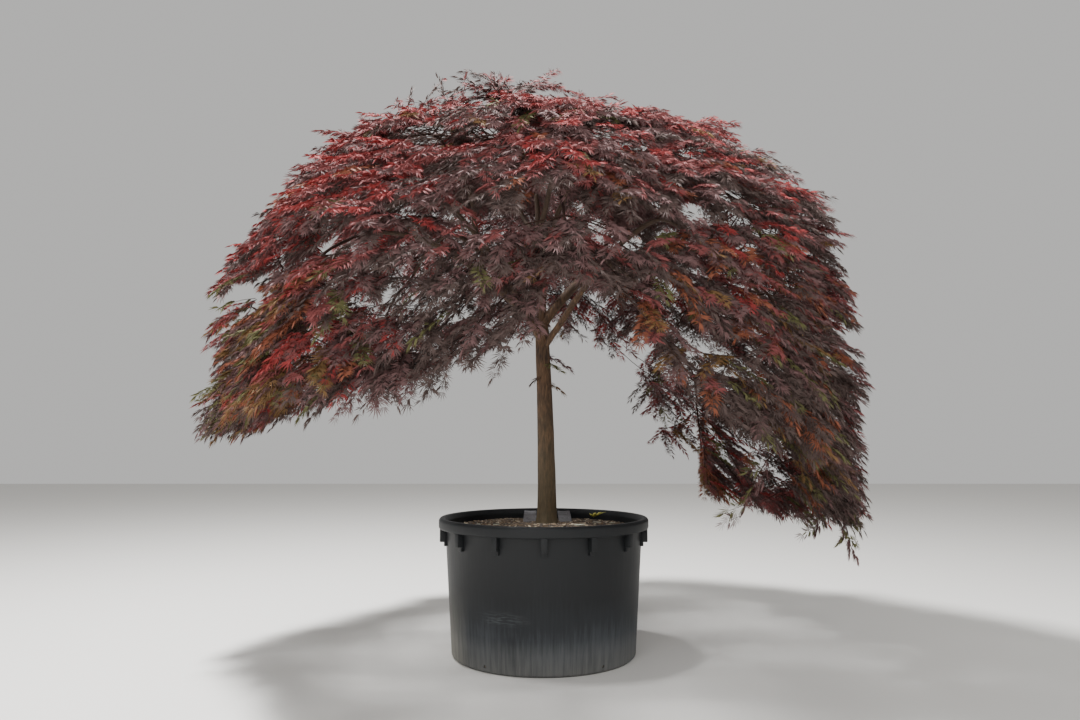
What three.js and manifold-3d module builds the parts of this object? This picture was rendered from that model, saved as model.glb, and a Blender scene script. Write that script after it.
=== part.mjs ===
// A cutleaf weeping maple, grown as an umbrella on a short trunk, in a round nursery container.
// The container is filled with potting soil and the tree stands in its middle. Boughs radiate from
// the fork, arch over and end in masses of fine drooping foliage.
// Millimetres, +Z up. The origin is the centre of the container's underside, and +Y is the far side.

import * as THREE from "three";
import { mergeVertices } from "three/addons/utils/BufferGeometryUtils.js";
import Module from "manifold-3d";

const wasm = await Module();
wasm.setup();

// Container
const POT_HEIGHT = 850;
const RIM_RADIUS = 670;
const BASE_RADIUS = 581;
const TOP_RADIUS = 628;
const WALL = 9;
const RIM_DEPTH = 66;
const RIM_BEVEL = 6;
const LIP_WIDTH = 36;
const LIP_SLOPE = 30;
const FOOT_BEVEL = 14;
const POT_SIDES = 42;
const LUG_COUNT = 14;
const LUG_WIDTH = 38;
const LUG_HEIGHT = 96;
const LUG_REACH = 28;
const LUG_STEP = 3;
const LUG_STEP_HEIGHT = 26;
const DRAIN_COUNT = 5;
const DRAIN_RADIUS = 9;
const DRAIN_HEIGHT = 38;
const DRAIN_TURN = 18;

// Soil and the two boards that brace the root ball
const SOIL_EDGE = 778;
const SOIL_SHOULDER = 790;
const SOIL_MOUND = 806;
const MOUND_RADIUS = 190;
const SHOULDER_RADIUS = 420;
const BOARD = { width: 86, thick: 22, front: -40, backHeight: 826, slope: 40 };
const BOARD_PLACES = { board_left: -92, board_right: 146 };

// Trunk
const FOOT_LEAN = 24;
const FORK_LEAN = -12;
const FORK_HEIGHT = 2100;
const FOOT_DEPTH = 40;
const FLARE_RADIUS = 88;
const FLARE_FADE = 26;
const FOOT_RADIUS = 64;
const FORK_RADIUS = 43;
const ROOT_LOBES = 5;
const LOBE_DEPTH = 9;

// Crown. Each side says how far it reaches, how low it hangs and how square its shoulder is.
const CROWN_TOP = 3350;
const PEAK = 150;
const CROWN_LEAN = { x: -400, y: -40 };
const LEAN_FOOT = 3060;
const SIDES = [
  { name: "right", azimuth: 0, reach: 2000, hem: 760, fullness: 3.8 },
  { name: "back_right", azimuth: 48, reach: 1960, hem: 880, fullness: 2.9 },
  { name: "back", azimuth: 88, reach: 1820, hem: 2260, fullness: 2.7 },
  { name: "back_left", azimuth: 138, reach: 1900, hem: 1750, fullness: 2.8 },
  { name: "left", azimuth: 184, reach: 2110, hem: 1340, fullness: 2.7 },
  { name: "front_left", azimuth: 228, reach: 1960, hem: 1500, fullness: 2.6 },
  { name: "front", azimuth: 274, reach: 1740, hem: 1740, fullness: 2.6 },
  { name: "front_right", azimuth: 318, reach: 1850, hem: 1240, fullness: 2.5 },
];

// Places under the crown's surface are given as a share of the way from its top to its hem, and a
// depth that is 1 on the surface. Each side has a bough up to its shoulder and an arching limb that
// goes on over the bend. A leader and four risers climb into the top.
const SHOULDER = { share: 0.42, depth: 0.74 };
const BEND = { share: 0.6, depth: 0.8 };
const BOUGHS = {
  right: { parent: "trunk", at: 0.985, radius: 33, lift: 0.62 },
  left: { parent: "trunk", at: 0.96, radius: 31, lift: 0.4 },
  back: { parent: "trunk", at: 0.925, radius: 24, lift: 0.5 },
  front_left: { parent: "trunk", at: 0.9, radius: 23, lift: 0.4 },
  front_right: { parent: "trunk", at: 0.87, radius: 22, lift: 0.36 },
  back_right: { parent: "bough_right", at: 0.2, radius: 22, lift: 0.45 },
  back_left: { parent: "bough_left", at: 0.22, radius: 22, lift: 0.45 },
  front: { parent: "bough_left", at: 0.1, radius: 22, lift: 0.5 },
};
const LEADER = { at: 0.985, radius: 30, share: 0.02, depth: 0.74, lift: 0.2 };
const RISERS = {
  top_right: { parent: "bough_right", at: 0.45, sides: ["right", "back_right"] },
  top_back: { parent: "leader", at: 0.55, sides: ["back", "back_left"] },
  top_left: { parent: "bough_left", at: 0.42, sides: ["left", "front_left"] },
  top_front: { parent: "leader", at: 0.4, sides: ["front", "front_right"] },
};
const RISER = { share: 0.22, depth: 0.74, radius: 17, lift: 0.3 };
const TIP_RADIUS = 14;
const ARCH_RADIUS = 11;

// Foliage masses. Each tier fills its own band of shares, and each mass its own sector of it.
const TIERS = { tuft: [0, 0.17], top: [0.17, 0.42], shoulder: [0.42, 0.71], curtain: [0.71, 1.03] };
const INNERMOST = 0.8;
const OUTERMOST = { tuft: 1.14, top: 1.06, shoulder: 1.06, curtain: 1.08 };
const STEM_DEPTH = [0.91, 0.97];
const TWIG_DEPTH = [0.93, 0.99];
const TUFT_TWIGS = 7;
const LONG_TWIG = 330;
const ROW_STEP = 300;
const STEM_RINGS = 8;
const STEM_RADIUS = 13;
const STEM_TIP = 8;
const TWIG_RADIUS = 4.5;
const TWIG_TIP = 4;
const ROOT_OVERLAP = 120;
const SPRAY = { length: 450, width: 250, thick: 8, widest: 0.55, ridge: 0.12 };
const SPRAY_TRIES = [
  { swing: 1, scale: 1, lift: 0 },
  { swing: 0.8, scale: 0.95, lift: 0.14 },
  { swing: 0.5, scale: 0.86, lift: 0.06 },
  { swing: 0.1, scale: 0.76, lift: 0.2 },
  { swing: -0.4, scale: 0.68, lift: 0.1 },
];

// Touching pieces stand a gap apart, and foliage keeps a margin to limbs and to other masses.
const GAP = 0.3;
const MARGIN = 5;

const UP = new THREE.Vector3(0, 0, 1);
const radians = THREE.MathUtils.degToRad;
const mix = THREE.MathUtils.lerp;
const root = new THREE.Group();

function dice(seed) {
  let state = seed;
  const roll = () => {
    state = (state * 1664525 + 1013904223) % 4294967296;
    return state / 4294967296;
  };
  roll();
  roll();
  return roll;
}

function solidOf(geometry) {
  const bare = geometry.clone();
  bare.deleteAttribute("normal");
  bare.deleteAttribute("uv");
  const merged = mergeVertices(bare, 1e-3);
  return new wasm.Manifold(new wasm.Mesh({
    numProp: 3,
    vertProperties: merged.attributes.position.array,
    triVerts: new Uint32Array(merged.index.array),
  }));
}

function geometryOf(solid) {
  const mesh = solid.getMesh();
  const places = new Float32Array(mesh.numVert * 3);
  for (let i = 0; i < mesh.numVert; i++) {
    places.set(mesh.vertProperties.subarray(i * mesh.numProp, i * mesh.numProp + 3), i * 3);
  }
  return new THREE.BufferGeometry()
    .setAttribute("position", new THREE.BufferAttribute(places, 3))
    .setIndex(new THREE.BufferAttribute(mesh.triVerts, 1));
}

// The largest of a solid's separate pieces, so that no loose scrap stays behind a cut.
function largest(solid) {
  return solid.decompose().reduce((best, piece) => (piece.volume() > best.volume() ? piece : best));
}

// What is left of a solid after the ones that came before it, which may take only its start.
function clearOf(name, solid, taken) {
  const kept = largest(taken.reduce((rest, other) => rest.subtract(other), solid));
  if (kept.volume() < 0.8 * solid.volume()) throw new Error(`${name} is cut in two`);
  return kept;
}

function addNode(name, geometry, material) {
  const mesh = new THREE.Mesh(geometry, material);
  mesh.name = name;
  root.add(mesh);
}

function finish(colour, roughness) {
  return new THREE.MeshStandardMaterial({ color: colour, roughness, metalness: 0 });
}

// A tapering tube with a flat start and a pointed tip. radiusAt takes the share of the way along it
// and the turn round it.
function taperedTube(path, radiusAt, sides, rings) {
  const frames = path.computeFrenetFrames(rings - 1, false);
  const places = [];
  for (let ring = 0; ring < rings; ring++) {
    const share = ring / (rings - 1);
    const centre = path.getPointAt(share);
    for (let side = 0; side < sides; side++) {
      const turn = (2 * Math.PI * side) / sides;
      const out = frames.normals[ring].clone().multiplyScalar(Math.cos(turn))
        .addScaledVector(frames.binormals[ring], Math.sin(turn));
      places.push(...centre.clone().addScaledVector(out, radiusAt(share, turn)).toArray());
    }
  }
  const tip = path.getPointAt(1).addScaledVector(path.getTangentAt(1), radiusAt(1, 0));
  places.push(...path.getPointAt(0).toArray(), ...tip.toArray());
  const first = rings * sides;
  const corners = [];
  for (let side = 0; side < sides; side++) {
    const next = (side + 1) % sides;
    for (let ring = 0; ring < rings - 1; ring++) {
      const here = ring * sides;
      const there = here + sides;
      corners.push(here + side, here + next, there + next);
      corners.push(here + side, there + next, there + side);
    }
    corners.push(first, next, side);
    corners.push(first + 1, (rings - 1) * sides + side, (rings - 1) * sides + next);
  }
  return new THREE.BufferGeometry()
    .setAttribute("position", new THREE.Float32BufferAttribute(places, 3))
    .setIndex(corners);
}

// The container's outer radius at a height below its rim.
function wallRadius(height) {
  return mix(BASE_RADIUS, TOP_RADIUS, (height - FOOT_BEVEL) / (POT_HEIGHT - RIM_DEPTH - FOOT_BEVEL));
}

function makePot(material) {
  const floor = FOOT_BEVEL + WALL;
  const profile = [
    [0, 0],
    [BASE_RADIUS - FOOT_BEVEL, 0],
    [BASE_RADIUS, FOOT_BEVEL],
    [TOP_RADIUS, POT_HEIGHT - RIM_DEPTH],
    [RIM_RADIUS - RIM_BEVEL, POT_HEIGHT - RIM_DEPTH],
    [RIM_RADIUS, POT_HEIGHT - RIM_DEPTH + RIM_BEVEL],
    [RIM_RADIUS, POT_HEIGHT - RIM_BEVEL],
    [RIM_RADIUS - RIM_BEVEL, POT_HEIGHT],
    [RIM_RADIUS - LIP_WIDTH, POT_HEIGHT],
    [TOP_RADIUS - WALL, POT_HEIGHT - LIP_SLOPE],
    [TOP_RADIUS - WALL, POT_HEIGHT - RIM_DEPTH],
    [wallRadius(floor) - WALL, floor],
    [0, floor],
  ].map(([radius, height]) => new THREE.Vector2(radius, height));
  let pot = solidOf(new THREE.LatheGeometry(profile, POT_SIDES).rotateX(Math.PI / 2));
  const lugTop = POT_HEIGHT - RIM_DEPTH + RIM_BEVEL / 2;
  const lugFoot = lugTop - LUG_HEIGHT;
  const lugShape = new THREE.Shape([
    new THREE.Vector2(TOP_RADIUS - WALL / 2, lugTop),
    new THREE.Vector2(wallRadius(lugFoot) - WALL / 2, lugFoot),
    new THREE.Vector2(TOP_RADIUS + LUG_STEP, lugFoot),
    new THREE.Vector2(TOP_RADIUS + LUG_STEP, lugFoot + LUG_STEP_HEIGHT),
    new THREE.Vector2(TOP_RADIUS + LUG_REACH, lugFoot + LUG_STEP_HEIGHT),
    new THREE.Vector2(TOP_RADIUS + LUG_REACH, lugTop),
  ]);
  const lug = new THREE.ExtrudeGeometry(lugShape, { depth: LUG_WIDTH, bevelEnabled: false })
    .translate(0, 0, -LUG_WIDTH / 2)
    .rotateX(Math.PI / 2);
  const drain = new THREE.CylinderGeometry(DRAIN_RADIUS, DRAIN_RADIUS, 8 * WALL, 8)
    .rotateZ(Math.PI / 2)
    .translate(BASE_RADIUS, 0, DRAIN_HEIGHT);
  for (let i = 0; i < LUG_COUNT; i++) {
    pot = pot.add(solidOf(lug.clone().rotateZ((2 * Math.PI * (i + 0.5)) / LUG_COUNT)));
  }
  for (let i = 0; i < DRAIN_COUNT; i++) {
    pot = pot.subtract(solidOf(drain.clone().rotateZ(radians(DRAIN_TURN) + (2 * Math.PI * i) / DRAIN_COUNT)));
  }
  addNode("pot", geometryOf(largest(pot)), material);
}

// Each board runs from the container's far wall down into the soil beside the trunk.
function boardGeometry(x, growth) {
  const inside = (TOP_RADIUS - WALL) * Math.cos(Math.PI / POT_SIDES);
  const back = Math.sqrt(inside ** 2 - (Math.abs(x) + BOARD.width / 2) ** 2) - 2 * GAP;
  const length = back - BOARD.front;
  return new THREE.BoxGeometry(BOARD.width + growth, length + growth, BOARD.thick + growth)
    .rotateX(Math.atan2(BOARD.slope, length))
    .translate(x, (back + BOARD.front) / 2, BOARD.backHeight - BOARD.slope / 2);
}

function makeBoards(material) {
  for (const [name, x] of Object.entries(BOARD_PLACES)) addNode(name, boardGeometry(x, 0), material);
}

// The fill stands a little clear of the container, and the trunk's foot stands on its flat middle.
function makeSoil(material) {
  const floor = FOOT_BEVEL + WALL + GAP;
  const profile = [
    [0, floor],
    [wallRadius(floor) - WALL - GAP, floor],
    [wallRadius(SOIL_EDGE) - WALL - GAP, SOIL_EDGE],
    [SHOULDER_RADIUS, SOIL_SHOULDER],
    [MOUND_RADIUS, SOIL_MOUND],
    [0, SOIL_MOUND],
  ].map(([radius, height]) => new THREE.Vector2(radius, height));
  let soil = solidOf(new THREE.LatheGeometry(profile, POT_SIDES).rotateX(Math.PI / 2));
  for (const x of Object.values(BOARD_PLACES)) soil = soil.subtract(solidOf(boardGeometry(x, 2 * GAP)));
  addNode("soil", geometryOf(largest(soil)), material);
}

// The crown's outer surface blends from side to side, rises to a low peak and leans near its top.
function sideAt(azimuth) {
  const turn = THREE.MathUtils.euclideanModulo(azimuth, 360);
  const next = SIDES.findIndex((side) => side.azimuth > turn);
  const a = SIDES[(next < 0 ? SIDES.length : next) - 1];
  const b = SIDES[Math.max(next, 0)];
  const share = THREE.MathUtils.smoothstep(turn, a.azimuth, next < 0 ? 360 : b.azimuth);
  return {
    reach: mix(a.reach, b.reach, share),
    hem: mix(a.hem, b.hem, share),
    fullness: mix(a.fullness, b.fullness, share),
  };
}

function leanAt(height) {
  return Math.max(0, (height - LEAN_FOOT) / (CROWN_TOP + PEAK - LEAN_FOOT));
}

function crownPoint(azimuth, share, depth) {
  const { reach, hem, fullness } = sideAt(azimuth);
  const polar = (share * Math.PI) / 2;
  const out = Math.sin(polar);
  const up = Math.cos(polar);
  const bulge = depth * (Math.abs(out) ** fullness + Math.abs(up) ** fullness) ** (-1 / fullness);
  const height = hem + up * bulge * (CROWN_TOP - hem) + PEAK * (1 - out * bulge);
  return new THREE.Vector3(
    Math.cos(radians(azimuth)) * out * bulge * reach + CROWN_LEAN.x * leanAt(height),
    Math.sin(radians(azimuth)) * out * bulge * reach + CROWN_LEAN.y * leanAt(height),
    height,
  );
}

// The other way round: the azimuth, share and depth of a point.
function crownPlace(point) {
  const x = point.x - CROWN_LEAN.x * leanAt(point.z);
  const y = point.y - CROWN_LEAN.y * leanAt(point.z);
  const azimuth = THREE.MathUtils.radToDeg(Math.atan2(y, x));
  const { reach, hem, fullness } = sideAt(azimuth);
  const out = Math.hypot(x, y) / reach;
  const up = (point.z - hem - PEAK * (1 - out)) / (CROWN_TOP - hem);
  const depth = (out ** fullness + Math.abs(up) ** fullness) ** (1 / fullness);
  return { azimuth, share: Math.atan2(out, up) / (Math.PI / 2), depth };
}

// Directions on the surface: down the slope, round the crown and out of it.
function crownFrame(azimuth, share) {
  const here = crownPoint(azimuth, share, 1);
  const down = crownPoint(azimuth, share + 0.02, 1).sub(here).normalize();
  const around = crownPoint(azimuth + 1, share, 1).sub(here);
  around.addScaledVector(down, -around.dot(down)).normalize();
  return { down, around, out: down.clone().cross(around) };
}

// Limbs, each with its path and its radii.
const limbs = new Map();

function growLimb(name, path, start, end) {
  const radiusAt = (share) => mix(start, end, share);
  limbs.set(name, { path, radiusAt, samples: path.getSpacedPoints(30), thickest: start, sides: 5, rings: 7 });
}

function limbSolid(limb, growth) {
  const radiusAt = (share, turn) => limb.radiusAt(share, turn) + growth;
  return solidOf(taperedTube(limb.path, radiusAt, limb.sides, limb.rings));
}

function growTrunk() {
  const path = new THREE.CatmullRomCurve3([
    new THREE.Vector3(FOOT_LEAN, 0, SOIL_MOUND - FOOT_DEPTH),
    new THREE.Vector3(FOOT_LEAN - 2, 4, SOIL_MOUND + 90),
    new THREE.Vector3(mix(FOOT_LEAN, FORK_LEAN, 0.5) + 6, 8, mix(SOIL_MOUND, FORK_HEIGHT, 0.5)),
    new THREE.Vector3(FORK_LEAN, 0, FORK_HEIGHT),
  ]);
  growLimb("trunk", path, FOOT_RADIUS, FORK_RADIUS);
  const flare = (share) => Math.exp(-share * FLARE_FADE);
  Object.assign(limbs.get("trunk"), {
    sides: 15,
    rings: 12,
    radiusAt: (share, turn) => mix(FOOT_RADIUS, FORK_RADIUS, share ** 0.9)
      + (FLARE_RADIUS - FOOT_RADIUS + LOBE_DEPTH * Math.cos(ROOT_LOBES * turn)) * flare(share),
  });
}

// A limb that climbs away from its parent and levels out, or turns down, towards its tip.
function archPath(start, goal, lift) {
  const length = start.distanceTo(goal);
  const run = new THREE.Vector3(goal.x - start.x, goal.y - start.y, 0);
  const first = start.clone().addScaledVector(run, 0.22).addScaledVector(UP, lift * length * 0.55);
  const second = goal.clone().lerp(start, 0.34).addScaledVector(UP, run.length() * 0.24);
  return new THREE.CubicBezierCurve3(start, first, second, goal);
}

function branch(name, plan, goal) {
  const start = limbs.get(plan.parent).path.getPointAt(plan.at);
  growLimb(name, archPath(start, goal, plan.lift), plan.radius, plan.tip ?? TIP_RADIUS);
}

function growLimbs() {
  growTrunk();
  branch("leader", { parent: "trunk", ...LEADER }, crownPoint(180, LEADER.share, LEADER.depth));
  const azimuthOf = (name) => SIDES.find((side) => side.name === name).azimuth;
  for (const [name, plan] of Object.entries(BOUGHS)) {
    branch("bough_" + name, plan, crownPoint(azimuthOf(name), SHOULDER.share, SHOULDER.depth));
  }
  for (const { name, azimuth } of SIDES) {
    const plan = { parent: "bough_" + name, at: 1, radius: ARCH_RADIUS, tip: ARCH_RADIUS - 2, lift: 0.06 };
    branch("arch_" + name, plan, crownPoint(azimuth, BEND.share, BEND.depth));
  }
  for (const [name, plan] of Object.entries(RISERS)) {
    const { start, end } = sector(...plan.sides);
    branch("riser_" + name, { ...RISER, ...plan }, crownPoint((start + end) / 2, RISER.share, RISER.depth));
  }
}

function makeLimbs(material) {
  const side = 4 * FLARE_RADIUS;
  const ground = new THREE.BoxGeometry(side, side, side);
  const taken = [solidOf(ground.translate(FOOT_LEAN, 0, SOIL_MOUND + GAP - side / 2))];
  for (const [name, limb] of limbs) {
    addNode(name, geometryOf(clearOf(name, limbSolid(limb, 0), taken)), material);
    taken.push(limbSolid(limb, GAP));
  }
}

// Masses, each with its limb, its sector and its band of shares.
const masses = [];

// The sector of azimuths that some neighbouring sides share out, halfway to the next side.
function sector(firstName, lastName) {
  const first = SIDES.findIndex((side) => side.name === firstName);
  const last = SIDES.findIndex((side) => side.name === lastName);
  const before = first ? SIDES[first - 1].azimuth : SIDES.at(-1).azimuth - 360;
  const after = SIDES[last + 1]?.azimuth ?? SIDES[0].azimuth + 360;
  return { start: (before + SIDES[first].azimuth) / 2, end: (SIDES[last].azimuth + after) / 2 };
}

function planMass(name, limb, tier, start, end) {
  const [from, to] = TIERS[tier];
  const azimuth = (start + end) / 2;
  const tip = limbs.get(limb).path.getPointAt(1);
  const onStem = (along) => crownPoint(azimuth, mix(from, to, along), mix(...STEM_DEPTH, along));
  const path = new THREE.CatmullRomCurve3([tip, onStem(0.04), onStem(0.35), onStem(0.65), onStem(0.94)]);
  const entry = tip.distanceTo(onStem(0.04)) / path.getLength();
  const seed = 7919 * (masses.length + 1);
  masses.push({ name, tier, azimuth, half: (end - start) / 2, from, to, path, entry, seed });
}

function planMasses() {
  planMass("top_tuft", "leader", "tuft", 0, 360);
  for (const [name, plan] of Object.entries(RISERS)) {
    const { start, end } = sector(...plan.sides);
    planMass(name, "riser_" + name, "top", start, end);
  }
  for (const { name } of SIDES) {
    const { start, end } = sector(name, name);
    planMass("shoulder_" + name, "bough_" + name, "shoulder", start, end);
    planMass("curtain_" + name, "arch_" + name, "curtain", start, end);
  }
}

// True where a point lies in the mass's own space and clear of every limb.
function isFree(mass, point) {
  const place = crownPlace(point);
  if (place.depth < INNERMOST || place.depth > OUTERMOST[mass.tier]) return false;
  const radius = Math.hypot(point.x, point.y);
  const turn = THREE.MathUtils.euclideanModulo(place.azimuth - mass.azimuth + 180, 360) - 180;
  if (mass.half < 180 && radians(mass.half - Math.abs(turn)) * radius < MARGIN) return false;
  const band = MARGIN / SIDES[0].reach;
  if (place.share > mass.to - band || (mass.from > 0 && place.share < mass.from + band)) return false;
  for (const limb of limbs.values()) {
    const room = limb.thickest + 2 * MARGIN;
    if (limb.samples.some((sample) => sample.distanceTo(point) < room)) return false;
  }
  return true;
}

// One flat spray: a blade of eight faces, widest past its middle, that starts at its twig's heart.
function sprayGeometry(start, way, out, length, width) {
  const blade = new THREE.OctahedronGeometry(1, 0).scale(length / 2, width / 2, SPRAY.thick / 2);
  const places = blade.attributes.position;
  for (let i = 0; i < places.count; i++) {
    const ridge = Math.abs(places.getZ(i)) > 1e-6;
    const edge = Math.abs(places.getY(i)) > 1e-6;
    places.setX(i, ridge ? length * SPRAY.ridge : edge ? length * SPRAY.widest : places.getX(i) + length / 2);
  }
  const across = new THREE.Vector3().crossVectors(out, way).normalize();
  const face = new THREE.Vector3().crossVectors(way, across);
  return blade.applyMatrix4(new THREE.Matrix4().makeBasis(way, across, face).setPosition(start));
}

function stemSolid(mass, growth) {
  const radiusAt = (share) => mix(STEM_RADIUS, STEM_TIP, share) + growth;
  return solidOf(taperedTube(mass.path, radiusAt, 3, STEM_RINGS));
}

// A point on the straight stretches of the stem's tube, from 0 where its band of the crown begins.
function stemPoint(mass, along) {
  const rings = STEM_RINGS - 1;
  const share = mix(mass.entry, 1, along) * rings;
  const ring = Math.min(Math.floor(share), rings - 1);
  return mass.path.getPointAt(ring / rings).lerp(mass.path.getPointAt((ring + 1) / rings), share - ring);
}

function growMass(mass, taken) {
  const roll = dice(mass.seed);
  const spread = (low, high) => mix(low, high, roll());
  let solid = stemSolid(mass, 0);

  // Lays a spray on the surface. turn is its angle from straight down the slope, and where it would
  // leave the mass's space a shorter one, turned further down, is tried.
  const addSpray = (start, turn, size) => {
    const place = crownPlace(start);
    const { down, around, out } = crownFrame(place.azimuth, place.share);
    const tilt = spread(0.08, 0.24);
    const twist = spread(-0.3, 0.3);
    for (const { swing, scale, lift } of SPRAY_TRIES) {
      const angle = radians(turn * swing);
      const way = down.clone().multiplyScalar(Math.cos(angle)).addScaledVector(around, Math.sin(angle))
        .addScaledVector(out, tilt + lift).normalize();
      const length = SPRAY.length * size * scale;
      const width = SPRAY.width * size * scale;
      const face = out.clone().applyAxisAngle(way, twist);
      const across = new THREE.Vector3().crossVectors(face, way).normalize();
      const reach = (share) => start.clone().addScaledVector(way, length * share);
      const corner = (side) => reach(SPRAY.widest).addScaledVector(across, (side * width) / 2);
      const places = [reach(0.25), reach(0.55), reach(0.8), reach(1), corner(1), corner(-1)];
      if (!places.every((point) => isFree(mass, point))) continue;
      const blade = solidOf(sprayGeometry(start, way, face, length, width));
      if (solid.intersect(blade).volume() > ROOT_OVERLAP) continue;
      solid = solid.add(blade);
      return;
    }
  };

  const sprays = [];
  const addTwig = (start, azimuth, share, side) => {
    const path = new THREE.LineCurve3(start, crownPoint(azimuth, share, spread(...TWIG_DEPTH)));
    if (![0.4, 0.6, 0.8, 1].every((along) => isFree(mass, path.getPoint(along)))) return;
    solid = solid.add(solidOf(taperedTube(path, (along) => mix(TWIG_RADIUS, TWIG_TIP, along), 3, 2)));
    sprays.push([path.getPoint(0.98), side * 34, spread(0.85, 1.08)]);
    sprays.push([path.getPoint(0.6), side * 6, spread(0.78, 0.98)]);
    if (path.getLength() > LONG_TWIG) sprays.push([path.getPoint(0.52), side * 96, spread(0.7, 0.9)]);
  };

  const length = crownPoint(mass.azimuth, mass.from, 1).distanceTo(crownPoint(mass.azimuth, mass.to, 1));
  const last = 1 - (0.75 * SPRAY.length) / length;
  if (mass.tier === "tuft") {
    for (let i = 0; i < TUFT_TWIGS; i++) {
      addTwig(stemPoint(mass, i * 0.12), (i * 720) / TUFT_TWIGS, mass.to * spread(0.5, 0.7), 1);
    }
  } else {
    const rows = Math.max(2, Math.round(length / ROW_STEP));
    for (let row = 0; row < rows; row++) {
      for (const side of [-1, 1]) {
        const along = (last * (row + spread(0, 0.5))) / (rows - 0.5);
        const start = stemPoint(mass, Math.max(0, along - 0.1));
        const azimuth = mass.azimuth + side * mass.half * spread(0.5, 0.72);
        addTwig(start, azimuth, mix(mass.from, mass.to, along + 0.04), side);
      }
      sprays.push([stemPoint(mass, (last * (row + 0.4)) / rows), spread(-25, 25), spread(0.85, 1.05)]);
    }
  }
  for (const turn of [-30, 30]) sprays.push([stemPoint(mass, last + turn / 900), turn, spread(0.85, 1.05)]);
  for (const [start, turn, size] of sprays) addSpray(start, turn, size);
  return clearOf(mass.name, solid, taken);
}

function makeMasses(material) {
  const taken = [...limbs.values()].map((limb) => limbSolid(limb, GAP));
  for (const mass of masses) {
    addNode(mass.name, geometryOf(growMass(mass, taken)), material);
    taken.push(stemSolid(mass, 2 * GAP));
  }
}

makePot(finish(0x2f3133, 0.6));
makeSoil(finish(0x4a3426, 0.95));
makeBoards(finish(0x9a958d, 0.85));
growLimbs();
planMasses();
makeLimbs(finish(0x6b5a48, 0.85));
makeMasses(finish(0x6e1f1c, 0.7));

export default root;
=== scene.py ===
import math

import bmesh
import bpy
import numpy as np
from mathutils import Matrix, Vector, noise


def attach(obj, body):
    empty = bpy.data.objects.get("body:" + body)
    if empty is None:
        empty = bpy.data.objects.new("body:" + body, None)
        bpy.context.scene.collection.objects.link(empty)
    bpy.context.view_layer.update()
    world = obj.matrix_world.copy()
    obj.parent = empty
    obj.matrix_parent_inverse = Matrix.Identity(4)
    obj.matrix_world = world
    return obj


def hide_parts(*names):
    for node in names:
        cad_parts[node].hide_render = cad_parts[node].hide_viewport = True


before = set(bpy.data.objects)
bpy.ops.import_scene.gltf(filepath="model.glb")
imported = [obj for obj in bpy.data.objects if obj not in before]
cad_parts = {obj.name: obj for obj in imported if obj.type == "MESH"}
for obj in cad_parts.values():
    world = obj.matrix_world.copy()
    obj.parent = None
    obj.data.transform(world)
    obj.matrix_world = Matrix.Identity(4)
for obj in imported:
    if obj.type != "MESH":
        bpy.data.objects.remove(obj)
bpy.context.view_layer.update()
bpy.ops.object.select_all(action="DESELECT")


# The view is from a standing height a little over five metres away, looking up into the crown by a
# few degrees.
EYE_DISTANCE = 5.3265
EYE_HEIGHT = 1.34
EYE_ASIDE = -0.0232
EYE_TILT = math.radians(95.606)
bpy.ops.object.camera_add(location=(EYE_ASIDE, -EYE_DISTANCE, EYE_HEIGHT), rotation=(EYE_TILT, 0, 0))
camera = bpy.context.object
camera.data.sensor_width = 36
camera.data.lens = 27.17
bpy.context.scene.camera = camera


# The container is a heavy nursery pot, injection moulded in black polyethylene. Its wall leans out
# to a deep rolled rim, and stepped gussets carry the rim. Small drain holes pierce the wall's foot.
POT_HEIGHT = 0.85
POT_SIDES = 168
POT_WALL = 0.009
POT_BASE = 0.581
POT_TOP = 0.628
RIM_RADIUS = 0.670
RIM_DEPTH = 0.066
RIM_FOOT = POT_HEIGHT - RIM_DEPTH
POT_FLOOR = 0.023
POT_FOOT = 0.014
GUSSETS = 14
GUSSET_WIDTH = 0.037
GUSSET_STEP = 0.079
GUSSET_DEPTH = 0.105
GUSSET_REACH = 0.657
GUSSET_ROOT = 0.008
GUSSET_LIP = 0.002
GUSSET_TAPER = (0.42, 0.86, 1)
DRAINS = 5
DRAIN_RADIUS = 0.009
DRAIN_HEIGHT = 0.038
DRAIN_START = math.radians(18)
MOULDED_EDGE = 0.005
GUSSET_EDGE = 0.0022


def linear(colour):
    """An sRGB hex colour as the linear values that a shader takes."""
    shares = [int(colour[i:i + 2], 16) / 255 for i in (1, 3, 5)]
    return [s / 12.92 if s <= 0.04045 else ((s + 0.055) / 1.055) ** 2.4 for s in shares] + [1.0]


def add_node(material, kind, settings={}, links={}):
    """Adds a node to a material, with its settings and with links from other nodes' outputs."""
    node = material.node_tree.nodes.new(kind)
    for name, value in settings.items():
        if name == "stops":
            while len(node.color_ramp.elements) < len(value):
                node.color_ramp.elements.new(0.5)
            for element, (place, colour) in zip(node.color_ramp.elements, value):
                element.position = place
                element.color = linear(colour)
        elif isinstance(name, int) or name in node.inputs:
            node.inputs[name].default_value = value
        else:
            setattr(node, name, value)
    for name, output in links.items():
        material.node_tree.links.new(output, node.inputs[name])
    return node


def new_material(name, colour, roughness, **settings):
    """A material with one shader, and that shader, so that patterns can be led into it."""
    material = bpy.data.materials.new(name)
    material.use_nodes = True
    shader = material.node_tree.nodes["Principled BSDF"]
    shader.inputs["Base Color"].default_value = linear(colour)
    shader.inputs["Roughness"].default_value = roughness
    for socket, value in settings.items():
        shader.inputs[socket.replace("_", " ").title().replace("Ior", "IOR")].default_value = value
    material.diffuse_color = linear(colour)
    return material, shader


def object_place(material):
    """Where a point lies on the object, from which every pattern is drawn."""
    return add_node(material, "ShaderNodeTexCoord").outputs["Object"]


def stretched(material, place, scale):
    """A place with its axes scaled, so that a pattern runs along one of them."""
    return add_node(material, "ShaderNodeMapping", {"Scale": scale}, {"Vector": place}).outputs[0]


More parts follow.
